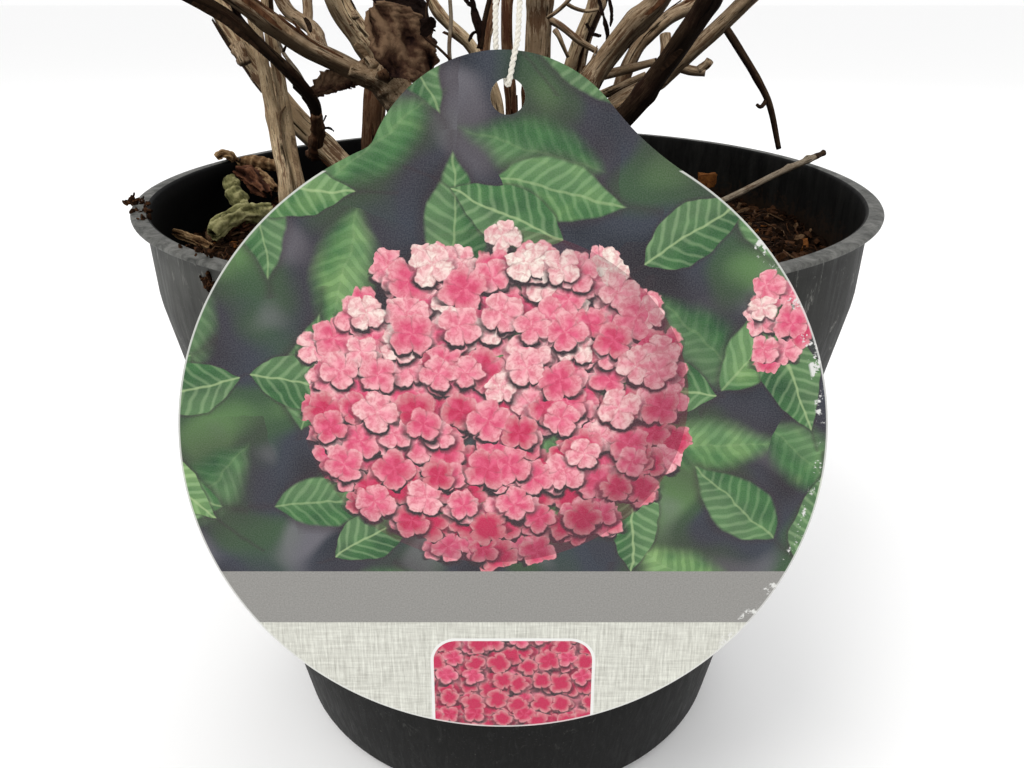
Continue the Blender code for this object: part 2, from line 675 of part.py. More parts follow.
def main():
    collection, cutters = start_scene()
    add_pot(collection, cutters)
    add_soil(collection)

    lines = {name: limb_line(name) for name in LIMBS}
    add_limbs(lines, collection, cutters)

    add_card(collection)
    string = string_line()
    tube("label_string", string, [STRING_RADIUS / MM] * len(string), collection, "string", 2, cyclic=True)

    leaders = {mass: leader_line(mass, lines) for mass in MASSES}
    obstacles = [(points, max(radii)) for points, radii in lines.values()]
    obstacles.append((string + string[:1], STRING_RADIUS / MM))
    outline = three_sided_bevel(cutters)
    chance = random.Random(SEED)
    for mass in MASSES:
        twigs = twig_lines(mass, leaders, obstacles, chance)
        add_mass(mass, leaders[mass], twigs, outline, collection)

    for name in LEAVES:
        add_leaf(name, collection)
    ends = [Vector(end) * MM for end in STICK_ENDS]
    sagging = ends[0].lerp(ends[1], 0.5) - Vector((0, 0, 0.6 * MM))
    widths = [STICK_DIAMETER / 2, STICK_DIAMETER / 2 * 1.1, STICK_DIAMETER / 2 * 0.85]
    tube("loose_stick", [ends[0], sagging, ends[1]], widths, collection, "bark_tan")


main()
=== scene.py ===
# %% [markdown]
# # A hydrangea shrub at rest for the winter, in its nursery pot
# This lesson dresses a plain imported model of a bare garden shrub. The plant stands in a black five litre
# pot, and a round picture card hangs in front of it on a string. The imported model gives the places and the
# sizes. Here each solid is replaced by a finer piece that has a real finish.

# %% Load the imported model
import math
import random

import bmesh
import bpy
from mathutils import Euler, Matrix, Vector, noise


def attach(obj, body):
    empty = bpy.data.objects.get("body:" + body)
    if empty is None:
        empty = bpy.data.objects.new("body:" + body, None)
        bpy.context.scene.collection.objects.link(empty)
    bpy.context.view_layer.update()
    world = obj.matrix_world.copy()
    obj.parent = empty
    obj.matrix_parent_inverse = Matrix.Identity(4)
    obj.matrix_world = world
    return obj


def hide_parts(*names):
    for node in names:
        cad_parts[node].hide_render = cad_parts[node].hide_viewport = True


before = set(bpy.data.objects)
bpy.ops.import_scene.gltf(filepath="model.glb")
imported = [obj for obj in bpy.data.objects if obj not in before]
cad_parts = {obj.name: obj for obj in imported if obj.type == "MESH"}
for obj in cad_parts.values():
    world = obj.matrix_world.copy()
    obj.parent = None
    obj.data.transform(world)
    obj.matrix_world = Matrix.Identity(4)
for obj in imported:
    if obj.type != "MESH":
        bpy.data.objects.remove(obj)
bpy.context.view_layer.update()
MM = 0.001

# %% [markdown]
# ## The camera
# The photograph looks down into the pot from close by. The ellipse of the rim and the slope of the wall fit
# one camera only, so its height, distance and dip are worked out from them once and written here as plain
# sizes. The shift is tiny: it moves the pot's axis 4.7 pixels to the left of the picture's middle.

# %% Camera
PICTURE_WIDTH = 1024
FOCAL_PIXELS = 823.3
CAMERA_PLACE = (0.0, -274.1 * MM, 244.5 * MM)
CAMERA_DIP = math.radians(25.04)
AXIS_LEFT_OF_MIDDLE = 4.7

camera = bpy.data.objects.new("camera", bpy.data.cameras.new("camera"))
bpy.context.scene.collection.objects.link(camera)
camera.location = CAMERA_PLACE
camera.rotation_euler = (math.pi / 2 - CAMERA_DIP, 0, 0)
camera.data.sensor_width = 36
camera.data.lens = FOCAL_PIXELS / PICTURE_WIDTH * camera.data.sensor_width
camera.data.shift_x = AXIS_LEFT_OF_MIDDLE / PICTURE_WIDTH
camera.data.clip_start = 0.005
bpy.context.scene.camera = camera
print("lens:", round(camera.data.lens, 2), "mm")

# %% [markdown]
# ## Finishes
# Every finish is a small tree of nodes. The same few nodes come back each time: a cloudy pattern of a given
# grain size, a ramp that turns it into colours, and a bump that gives it relief. So each gets a helper.


# %% Helpers for finishes
def start_finish(name, roughness, shine=0.35):
    """A new material with its tree and its shader."""
    material = bpy.data.materials.new(name)
    material.use_nodes = True
    tree = material.node_tree
    shader = tree.nodes["Principled BSDF"]
    shader.inputs["Roughness"].default_value = roughness
    shader.inputs["Specular IOR Level"].default_value = shine
    return material, tree, shader


def feed(tree, socket, value):
    """Links an output into a socket, or sets the socket's own value."""
    if isinstance(value, bpy.types.NodeSocket):
        tree.links.new(value, socket)
    else:
        socket.default_value = value


def place_in_object(tree, stretch=(1, 1, 1), turn=(0, 0, 0), shift=(0, 0, 0)):
    """The point being shaded, in millimetres of the object's own frame."""
    source = tree.nodes.new("ShaderNodeTexCoord").outputs["Object"]
    mapping = tree.nodes.new("ShaderNodeMapping")
    tree.links.new(source, mapping.inputs["Vector"])
    mapping.inputs["Location"].default_value = shift
    mapping.inputs["Rotation"].default_value = turn
    mapping.inputs["Scale"].default_value = [1000 * value for value in stretch]
    return mapping.outputs["Vector"]


def place_on_bark(tree, stretch=(1, 1, 1)):
    """The point being shaded, in millimetres round and along its limb."""
    source = tree.nodes.new("ShaderNodeAttribute")
    source.attribute_name = "bark"
    mapping = tree.nodes.new("ShaderNodeMapping")
    tree.links.new(source.outputs["Vector"], mapping.inputs["Vector"])
    mapping.inputs["Scale"].default_value = stretch
    return mapping.outputs["Vector"]


def cloud(tree, place, grain, detail=4.0, roughness=0.55, distortion=0.0, output="Fac"):
    """A cloudy pattern from 0 to 1 with patches about one grain across, in millimetres."""
    pattern = tree.nodes.new("ShaderNodeTexNoise")
    tree.links.new(place, pattern.inputs["Vector"])
    pattern.inputs["Scale"].default_value = 1 / grain
    pattern.inputs["Detail"].default_value = detail
    pattern.inputs["Roughness"].default_value = roughness
    pattern.inputs["Distortion"].default_value = distortion
    return pattern.outputs[output]


def ramp(tree, value, stops, smooth=False):
    """Colours or greys by value. A stop is a place from 0 to 1 and a colour, or a grey."""
    node = tree.nodes.new("ShaderNodeValToRGB")
    band = node.color_ramp
    band.interpolation = "EASE" if smooth else "LINEAR"
    while len(band.elements) < len(stops):
        band.elements.new(0.5)
    for element, (place, colour) in zip(band.elements, stops):
        element.position = place
        element.color = (*colour, 1) if isinstance(colour, tuple) else (colour, colour, colour, 1)
    tree.links.new(value, node.inputs["Fac"])
    return node.outputs["Color"]


def blend(tree, share, first, second):
    """Two colours mixed by a share from 0 to 1."""
    node = tree.nodes.new("ShaderNodeMix")
    node.data_type = "RGBA"
    feed(tree, node.inputs[0], share)
    for socket, value in ((node.inputs[6], first), (node.inputs[7], second)):
        feed(tree, socket, (*value, 1) if isinstance(value, tuple) else value)
    return node.outputs[2]


def sum_of(tree, operation, *values):
    """One step of arithmetic."""
    node = tree.nodes.new("ShaderNodeMath")
    node.operation = operation
    for socket, value in zip(node.inputs, values):
        feed(tree, socket, value)
    return node.outputs[0]


def times(tree, first, second):
    """One value times another."""
    return sum_of(tree, "MULTIPLY", first, second)


def times_plus(tree, value, factor, more):
    """A value times a factor, and more added."""
    return sum_of(tree, "MULTIPLY_ADD", value, factor, more)


def parts_of(tree, vector):
    """The X, Y and Z of a vector, as outputs with those names."""
    node = tree.nodes.new("ShaderNodeSeparateXYZ")
    tree.links.new(vector, node.inputs["Vector"])
    return node.outputs


def dress(tree, shader, colour, height, depth, strength):
    """The finish's colour, and bump from a height pattern. Depth is in millimetres."""
    tree.links.new(colour, shader.inputs["Base Color"])
    node = tree.nodes.new("ShaderNodeBump")
    node.inputs["Strength"].default_value = strength
    node.inputs["Distance"].default_value = depth * MM
    tree.links.new(height, node.inputs["Height"])
    tree.links.new(node.outputs["Normal"], shader.inputs["Normal"])


print("helpers for finishes are ready")

# %% [markdown]
# ## Pieces
# A piece is built as a bmesh, then written to an object that stays at the origin. It rides on the one body
# of the plant. Small parts that come by the hundred are each built alone and poured into one joined mesh.


# %% Helpers for pieces
def pour(joined, body):
    """Adds a finished small bmesh to a joined one."""
    scratch = bpy.data.meshes.new("scratch")
    body.to_mesh(scratch)
    body.free()
    joined.from_mesh(scratch)
    bpy.data.meshes.remove(scratch)


def new_body():
    """An empty bmesh that keeps a place on the bark for each corner."""
    body = bmesh.new()
    body.verts.layers.float_vector.new("bark")
    return body


def face_outward(body):
    """Makes the faces of a closed body point outwards."""
    bmesh.ops.recalc_face_normals(body, faces=body.faces)


def paint(body, kind):
    """Gives every face of a body the finish with that number."""
    for face in body.faces:
        face.material_index = kind


def write_piece(name, body, materials, slot, replaced=(), smooth=True):
    """Writes a bmesh to an object at the origin that rides on the plant's body."""
    mesh = bpy.data.meshes.new(name)
    for face in body.faces:
        face.smooth = smooth
    body.to_mesh(mesh)
    body.free()
    for material in materials:
        mesh.materials.append(material)
    piece = bpy.data.objects.new(name, mesh)
    bpy.context.scene.collection.objects.link(piece)
    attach(piece, "root")
    if replaced:
        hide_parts(*replaced)
    print(name, len(mesh.polygons), "faces")
    return piece


def line_length(points):
    """The length of a line of points, in millimetres."""
    return sum((second - first).length for first, second in zip(points, points[1:])) / MM


def runs_along(points, unit):
    """How far along a line each of its points lies, in a unit of length."""
    runs = [0.0]
    for first, second in zip(points, points[1:]):
        runs.append(runs[-1] + (second - first).length / unit)
    return runs


def transported_frames(points):
    """A frame at each point of a line: two directions across it that turn as little as they can."""
    frames = []
    across = None
    for index, point in enumerate(points):
        before = points[max(index - 1, 0)]
        after = points[min(index + 1, len(points) - 1)]
        along = (after - before).normalized()
        if across is None:
            across = along.orthogonal().normalized()
        across = (across - along * across.dot(along)).normalized()
        frames.append((point, across, along.cross(across)))
    return frames


def grow_tube(points, radius_at, sides, stretch=0.0):
    """A closed tube: a ring drawn on from frame to frame. Its radius depends on the ring, run and angle.

    Runs are in millimetres. Each corner keeps its place round and along the tube, moved on by stretch.
    """
    body = new_body()
    layer = body.verts.layers.float_vector["bark"]
    frames = transported_frames(points)
    ring = bmesh.ops.create_circle(body, cap_ends=True, segments=sides, radius=1.0)["verts"]
    rim = list(body.edges)
    directions = {corner: corner.co.to_2d().normalized() for corner in ring}
    run = 0.0
    for index, (centre, across, upward) in enumerate(frames):
        if index:
            run += (centre - frames[index - 1][0]).length / MM
            made = bmesh.ops.extrude_edge_only(body, edges=rim)["geom"]
            ring = [item for item in made if isinstance(item, bmesh.types.BMVert)]
            fresh = set(ring)
            drawn = [item for item in made if isinstance(item, bmesh.types.BMEdge)]
            rim = [edge for edge in drawn if fresh.issuperset(edge.verts)]
            last_centre, last_across, last_upward = frames[index - 1]
            directions = {}
            for corner in ring:
                out = corner.co - last_centre
                directions[corner] = Vector((out.dot(last_across), out.dot(last_upward))).normalized()
        for corner in ring:
            facing = directions[corner]
            angle = math.atan2(facing.y, facing.x)
            radius = radius_at(index, run, angle)
            corner.co = centre + (across * facing.x + upward * facing.y) * (radius * MM)
            corner[layer] = (facing.x * radius, facing.y * radius, run + stretch)
    bmesh.ops.edgeloop_fill(body, edges=rim)
    face_outward(body)
    return body


print("helpers for pieces are ready")

# %% [markdown]
# ## The pot
# The real pot is a thin moulded shell, the same all round, so it is one profile spun about its axis. The
# packed pot is the same profile with fewer steps, which shows as corners on the rim this close to the
# camera. Its floor is filled as a flat face round the drain holes.

# %% Pot sizes
POT_HEIGHT = 190
FLANGE_RADIUS = 115
FLANGE_THICKNESS = 1.4
MOUTH_RADIUS = 111.4
WALL = 1.4
FLOOR = 1.6
BASE_RADIUS = 82
BASE_ROUNDING = 4
FLARE_TOP = 166
FLARE_SLOPE = 0.1745
DRAIN_HOLES = 6
DRAIN_RADIUS = 6
DRAIN_CIRCLE = 64
POT_STEPS = 160
SOIL_LEVEL = 175

# The rim's profile from inside to outside: an edge, how far out from it, and how far below the top.
RIM_PROFILE = (
    (MOUTH_RADIUS - WALL, 0.25, 0.35), (MOUTH_RADIUS - WALL, 0.8, 0.05), (MOUTH_RADIUS, 1.2, 0),
    (FLANGE_RADIUS, -1.0, 0.1), (FLANGE_RADIUS, -0.25, 0.3), (FLANGE_RADIUS, 0, 0.7),
    (FLANGE_RADIUS, -0.1, 1.2), (FLANGE_RADIUS, -0.5, FLANGE_THICKNESS),
    (MOUTH_RADIUS, 0.5, FLANGE_THICKNESS), (MOUTH_RADIUS, -0.1, 2.0),
)


def wall_radius(height):
    """The outer radius of the wall in millimetres: an even flare, then nearly upright below the flange."""
    flared = BASE_RADIUS + FLARE_SLOPE * min(height, FLARE_TOP)
    above_flare = max(0.0, (height - FLARE_TOP) / (POT_HEIGHT - FLARE_TOP))
    return flared + (MOUTH_RADIUS - BASE_RADIUS - FLARE_SLOPE * FLARE_TOP) * above_flare


print("mouth:", wall_radius(POT_HEIGHT), "mm")


# %% Spin the pot's wall
def pot_wall_profile():
    """Radius and height of the wall's profile, from the floor up inside, over the rim and down outside."""
    inside = [(wall_radius(FLOOR) - WALL - 1.2, FLOOR), (wall_radius(3) - WALL, FLOOR + 1.2)]
    inside += [(wall_radius(z) - WALL, z) for z in (40, 80, 120, 160, FLARE_TOP, 176, 184, POT_HEIGHT - 1.0)]
    rim = [(edge + out, POT_HEIGHT - drop) for edge, out, drop in RIM_PROFILE]
    levels = (184, 176, FLARE_TOP + 1.5, FLARE_TOP - 1.5, 120, 80, 40, BASE_ROUNDING)
    outside = [(wall_radius(z), z) for z in levels]
    foot = []
    for degrees in (22.5, 45, 67.5, 90):
        turn = math.radians(degrees)
        inward, height = BASE_ROUNDING * (1 - math.cos(turn)), BASE_ROUNDING * (1 - math.sin(turn))
        foot.append((BASE_RADIUS - inward, height))
    return inside + rim + outside + foot


def spin_profile(body, profile, steps):
    """Spins a profile in millimetres about the axis."""
    corners = [body.verts.new((radius * MM, 0, height * MM)) for radius, height in profile]
    edges = [body.edges.new(pair) for pair in zip(corners, corners[1:])]
    bmesh.ops.spin(
        body, geom=corners + edges, cent=(0, 0, 0), axis=(0, 0, 1), dvec=(0, 0, 0),
        angle=math.tau, steps=steps, use_merge=True, use_duplicate=False,
    )


def fill_floor(body, height):
    """A flat face at a height in millimetres, from the wall's edge in to the edges of the drain holes."""
    edges = [
        edge for edge in body.edges
        if all(abs(corner.co.z - height * MM) < 1e-6 for corner in edge.verts) and len(edge.link_faces) == 1
    ]
    rings = []
    for hole in range(DRAIN_HOLES):
        turn = math.tau * (hole + 0.5) / DRAIN_HOLES
        place = Vector((DRAIN_CIRCLE * math.cos(turn), DRAIN_CIRCLE * math.sin(turn), height)) * MM
        made = bmesh.ops.create_circle(
            body, cap_ends=False, segments=24, radius=DRAIN_RADIUS * MM, matrix=Matrix.Translation(place)
        )
        ring = list(dict.fromkeys(edge for corner in made["verts"] for edge in corner.link_edges))
        rings.append(ring)
        edges += ring
    bmesh.ops.triangle_fill(body, use_beauty=True, use_dissolve=False, edges=edges)
    return rings


RIM_RISE = 1.5
RIM_RISE_TOWARDS = math.radians(62)
RIM_RISE_FROM = 150


def rim_rise(x, y, z):
    """How far the thin rim is bent up at a place, in millimetres: a real pot's rim isn't quite flat."""
    share = max(0.0, (z - RIM_RISE_FROM) / (POT_HEIGHT - RIM_RISE_FROM))
    return RIM_RISE * share * max(0.0, math.cos(math.atan2(y, x) - RIM_RISE_TOWARDS)) ** 2


pot = bmesh.new()
spin_profile(pot, pot_wall_profile(), POT_STEPS)
upper_rings = fill_floor(pot, FLOOR)
lower_rings = fill_floor(pot, 0.0)
for upper, lower in zip(upper_rings, lower_rings):
    bmesh.ops.bridge_loops(pot, edges=upper + lower)
bmesh.ops.remove_doubles(pot, verts=pot.verts, dist=1e-6)
face_outward(pot)
for corner in pot.verts:
    corner.co.z += rim_rise(*(corner.co / MM)) * MM
for face in pot.faces:
    middle = face.calc_center_median() / MM
    inner = math.hypot(middle.x, middle.y) < wall_radius(middle.z) - WALL / 2
    face.material_index = int(inner and middle.z > FLOOR / 2)
open_edges = sum(1 for edge in pot.edges if len(edge.link_faces) != 2)
print("pot edges left open:", open_edges)

# %% [markdown]
# The plastic is black when new. Outdoors it turns grey and chalky, most of all on the rim and the upper
# wall, and gets rubbed patches, fine upright scratches and splashes of soil. Those are layers of cloudy
# pattern of different grain over one dark base, and the dullest places are also the palest. The chalky grey
# is also made stronger towards the left as painted light, and inside, the wall is darkened as painted shade,
# most of all on the left.


# %% Weathered black plastic
def make_pot_plastic():
    """The outside and the flange, with painted light that makes the chalky grey stronger towards the left."""
    material, tree, shader = start_finish("pot_plastic", 0.55, 0.06)
    even = place_in_object(tree)
    upright = place_in_object(tree, stretch=(1, 1, 0.1))
    haze = cloud(tree, even, 34, 5, 0.62)
    streaks = cloud(tree, upright, 2.4, 6, 0.75, 0.6)
    specks = cloud(tree, even, 0.8, 3, 0.6)
    split = parts_of(tree, even)
    height = sum_of(tree, "DIVIDE", split["Z"], POT_HEIGHT)
    # Painted light: the chalky grey grows towards the left, where the light comes from.
    painted_lighting_leftward = times_plus(tree, split["X"], -0.0026, 0.44)
    hazed = ramp(tree, haze, ((0.36, 0.45), (0.62, 1.0)), True)
    chalk = times(tree, times(tree, hazed, times(tree, height, height)), painted_lighting_leftward)
    grey = blend(tree, chalk, (0.006, 0.006, 0.006), (0.088, 0.090, 0.082))
    rubbed = ramp(tree, streaks, ((0.56, 0.0), (0.72, 0.3)))
    grey = blend(tree, rubbed, grey, (0.075, 0.077, 0.075))
    scuffs = cloud(tree, place_in_object(tree, stretch=(1.6, 1.6, 0.8), turn=(0.3, 0.2, 0)), 9, 6, 0.78, 0.8)
    scuffed = times(tree, ramp(tree, scuffs, ((0.60, 0.0), (0.66, 0.75))), height)
    grey = blend(tree, scuffed, grey, (0.17, 0.168, 0.155))
    grey = blend(tree, ramp(tree, specks, ((0.66, 0.0), (0.74, 0.35))), grey, (0.19, 0.185, 0.17))
    on_top = ramp(tree, height, ((0.9895, 0.0), (0.993, 1.0)))
    rim_worn = ramp(tree, scuffs, ((0.36, 0.0), (0.62, 1.0)))
    rim_grey = blend(tree, rim_worn, (0.040, 0.041, 0.038), (0.155, 0.155, 0.145))
    grey = blend(tree, times(tree, on_top, 0.9), grey, rim_grey)
    splash = cloud(tree, even, 7.5, 5, 0.75, 0.6)
    soiled = ramp(tree, splash, ((0.67, 0.0), (0.72, 0.85)))
    grey = blend(tree, times(tree, soiled, height), grey, (0.035, 0.018, 0.010))
    tree.links.new(ramp(tree, streaks, ((0.3, 0.42), (0.7, 0.66))), shader.inputs["Roughness"])
    dress(tree, shader, grey, times_plus(tree, specks, 0.35, streaks), 0.12, 0.5)
    return material


def make_pot_inside():
    """The inside: black, partly as painted shade, darkest on the left, with a tide line of dried peat above
    the soil.
    """
    material, tree, shader = start_finish("pot_inside", 0.6, 0.04)
    upright = place_in_object(tree, stretch=(1, 1, 0.25))
    streaks = cloud(tree, upright, 5.0, 6, 0.7)
    dust = cloud(tree, place_in_object(tree), 2.2, 5, 0.72)
    black = ramp(tree, streaks, ((0.35, (0.003, 0.003, 0.003)), (0.68, (0.013, 0.013, 0.012))))
    split = parts_of(tree, place_in_object(tree))
    above_soil = sum_of(tree, "SUBTRACT", split["Z"], SOIL_LEVEL)
    above_soil = sum_of(tree, "DIVIDE", above_soil, POT_HEIGHT - SOIL_LEVEL)
    tide = sum_of(tree, "SUBTRACT", dust, times(tree, above_soil, 0.35))
    black = blend(tree, ramp(tree, tide, ((0.46, 0.0), (0.56, 0.7))), black, (0.022, 0.013, 0.008))
    # Painted shade: the inner wall is darkened towards the left, where it faces away from the light.
    painted_lighting_leftward = times_plus(tree, split["X"], -0.009, 0.1)
    black = blend(tree, painted_lighting_leftward, black, (0.0008, 0.0008, 0.0008))
    dress(tree, shader, black, dust, 0.2, 0.6)
    return material


write_piece("pot_shell", pot, [make_pot_plastic(), make_pot_inside()], "pot_plastic", ["pot"])

# %% [markdown]
# ## The soil
# The pot is filled with dark peat, mulched with bark. The packed soil has a flat top. The real one is
# loose, so its top is a spun disc whose corners are lifted by noise. It has sunk a little and has drawn
# back from the wall. Flakes of bark and dead fibres are strewn on it.

# %% Soil sizes
SOIL_RINGS = 74
SOIL_STEPS = 210
CLOD_HEIGHT = 3.2
CLODS_PER_MM = 0.045
CRUMB_HEIGHT = 1.3
CRUMBS_PER_MM = 0.26
SUNK_BY = 0.8
SHRUNK_FROM = 82
SHRUNK_TO = 109
SHRUNK_BY = 4.5


def soil_height(x, y):
    """The height of the soil's loose top in millimetres, at a place in millimetres."""
    clods = noise.noise(Vector((x * CLODS_PER_MM, y * CLODS_PER_MM, 3.1))) * CLOD_HEIGHT
    rough = noise.fractal(Vector((x * CRUMBS_PER_MM, y * CRUMBS_PER_MM, 7.7)), 0.9, 2.1, 4) * CRUMB_HEIGHT
    shrunk = max(0.0, (math.hypot(x, y) - SHRUNK_FROM) / (SHRUNK_TO - SHRUNK_FROM))
    return SOIL_LEVEL - SUNK_BY + clods + rough - SHRUNK_BY * shrunk**1.5


print("soil in the middle:", round(soil_height(0, 0), 1), "mm")

# %% Spin the soil and lift its top
soil = bmesh.new()
soil_edge = wall_radius(SOIL_LEVEL) - WALL - 0.05
soil_top = [(soil_edge * ring / SOIL_RINGS, SOIL_LEVEL) for ring in range(SOIL_RINGS + 1)]
soil_side = [(wall_radius(z) - WALL - 0.3, z) for z in (140, 80, FLOOR + 2.0)]
soil_foot = [(wall_radius(FLOOR) - 5, FLOOR + 0.3), (0, FLOOR + 0.3)]
spin_profile(soil, soil_top + soil_side + soil_foot, SOIL_STEPS)
bmesh.ops.remove_doubles(soil, verts=soil.verts, dist=1e-5)
for corner in soil.verts:
    if corner.co.z > (SOIL_LEVEL - 1) * MM:
        corner.co.z = soil_height(corner.co.x / MM, corner.co.y / MM) * MM
face_outward(soil)


def make_peat():
    """Dark, damp peat with paler crumbs and brown fibres."""
    material, tree, shader = start_finish("peat", 0.95, 0.02)
    even = place_in_object(tree)
    crumbs = cloud(tree, even, 2.6, 6, 0.7)
    fibres = cloud(tree, place_in_object(tree, stretch=(0.4, 1.6, 1)), 1.1, 5, 0.7, 1.2)
    browns = ((0.3, (0.004, 0.003, 0.002)), (0.5, (0.016, 0.009, 0.006)), (0.7, (0.05, 0.026, 0.014)))
    dark = ramp(tree, crumbs, browns)
    brown = blend(tree, ramp(tree, fibres, ((0.6, 0.0), (0.72, 0.8))), dark, (0.12, 0.055, 0.026))
    dress(tree, shader, brown, sum_of(tree, "ADD", crumbs, fibres), 1.4, 0.9)
    return material


write_piece("peat", soil, [make_peat()], "soil", ["soil"])


# %% Bark flakes on the soil
def make_flake_finish(name, colour, dark):
    """Bark with a grain of two colours."""
    material, tree, shader = start_finish(name, 0.9, 0.04)
    grain = cloud(tree, place_in_object(tree, stretch=(1, 2.5, 1)), 2.4, 5, 0.7, 0.4)
    dress(tree, shader, ramp(tree, grain, ((0.34, dark), (0.62, colour))), grain, 0.5, 0.8)
    return material


FLAKE_FINISHES = [
    make_flake_finish("flake_dark", (0.022, 0.010, 0.005), (0.004, 0.002, 0.001)),
    make_flake_finish("flake_brown", (0.075, 0.033, 0.015), (0.018, 0.008, 0.004)),
    make_flake_finish("flake_orange", (0.21, 0.078, 0.020), (0.055, 0.018, 0.006)),
    make_flake_finish("flake_tan", (0.16, 0.095, 0.05), (0.035, 0.018, 0.010)),
]
# The share of flakes up to and with each finish
FLAKE_SHARES = (0.52, 0.90, 0.955, 1.0)
FLAKE_COUNT = 2300
FIBRE_COUNT = 420
FIBRE_STRIDE = 2.6


def make_flake(chance, length, kind):
    """A splinter of bark: an uneven outline with a few corners, drawn up to a thin slab."""
    flake = new_body()
    made = bmesh.ops.create_circle(flake, cap_ends=True, segments=chance.choice((5, 6, 7)), radius=0.5)
    for corner in made["verts"]:
        corner.co.x *= length * chance.uniform(0.75, 1.15)
        corner.co.y *= length * chance.uniform(0.25, 0.6)
    thick = chance.uniform(0.5, 1.6)
    lifted = bmesh.ops.extrude_face_region(flake, geom=list(flake.faces))["geom"]
    for corner in lifted:
        if isinstance(corner, bmesh.types.BMVert):
            corner.co.z += thick * chance.uniform(0.7, 1.3)
            corner.co.x *= 0.9
    bmesh.ops.scale(flake, vec=(MM, MM, MM), verts=flake.verts)
    paint(flake, kind)
    return flake


def strew_flakes(count, chance):
    """Flakes all over the soil, lying at all angles, and heaped a little."""
    heap = new_body()
    for _ in range(count):
        out = soil_edge * math.sqrt(chance.random()) * 0.985
        turn = chance.uniform(0, math.tau)
        x, y = out * math.cos(turn), out * math.sin(turn)
        draw = chance.random()
        kind = next(index for index, share in enumerate(FLAKE_SHARES) if draw <= share)
        length = min(chance.lognormvariate(1.2, 0.5), 13)
        length = min(length, 2 * (soil_edge - out) + 3)
        flake = make_flake(chance, length, kind)
        lean = Matrix.Rotation(chance.gauss(0, 0.45), 4, "X") @ Matrix.Rotation(chance.gauss(0, 0.4), 4, "Y")
        spin = Matrix.Rotation(chance.uniform(0, math.tau), 4, "Z")
        place = Vector((x, y, soil_height(x, y) + chance.uniform(-0.3, 1.2))) * MM
        bmesh.ops.transform(flake, matrix=Matrix.Translation(place) @ spin @ lean, verts=flake.verts)
        face_outward(flake)
        pour(heap, flake)
    return heap


mulch = strew_flakes(FLAKE_COUNT, random.Random(5))
write_piece("mulch_flakes", mulch, FLAKE_FINISHES, "soil", smooth=False)


# %% Fibres and fine roots on the soil
def strew_fibres(count, chance):
    """Thin dead roots that lie in loose bends on the soil."""
    mat = new_body()
    for _ in range(count):
        out = soil_edge * math.sqrt(chance.random()) * 0.93
        turn = chance.uniform(0, math.tau)
        x, y = out * math.cos(turn), out * math.sin(turn)
        heading = chance.uniform(0, math.tau)
        bend = chance.uniform(-0.5, 0.5)
        points = []
        for step in range(chance.choice((5, 6, 7, 8))):
            if math.hypot(x, y) > soil_edge - 1.5:
                break
            lift = 0.7 + 1.1 * math.sin(step * 0.9) ** 2
            points.append(Vector((x, y, soil_height(x, y) + lift)) * MM)
            x += FIBRE_STRIDE * math.cos(heading)
            y += FIBRE_STRIDE * math.sin(heading)
            heading += bend + chance.uniform(-0.3, 0.3)
        if len(points) < 3:
            continue
        thick = chance.uniform(0.12, 0.34)
        fibre = grow_tube(points, lambda ring, run, angle: thick, 4)
        paint(fibre, chance.choice((1, 1, 3, 0)))
        pour(mat, fibre)
    return mat


write_piece("soil_fibres", strew_fibres(FIBRE_COUNT, random.Random(8)), FLAKE_FINISHES, "soil")

# %% [markdown]
# ## The limbs
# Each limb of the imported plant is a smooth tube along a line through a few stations. The same stations are
# written here again, so that bark with real relief can replace every tube in its exact place.

# %% Limb stations
FOOT_LEVEL = 175.3
LIMB_STEP = 11
FLARE_RUN = 7
UPRIGHT_FOOT = 3

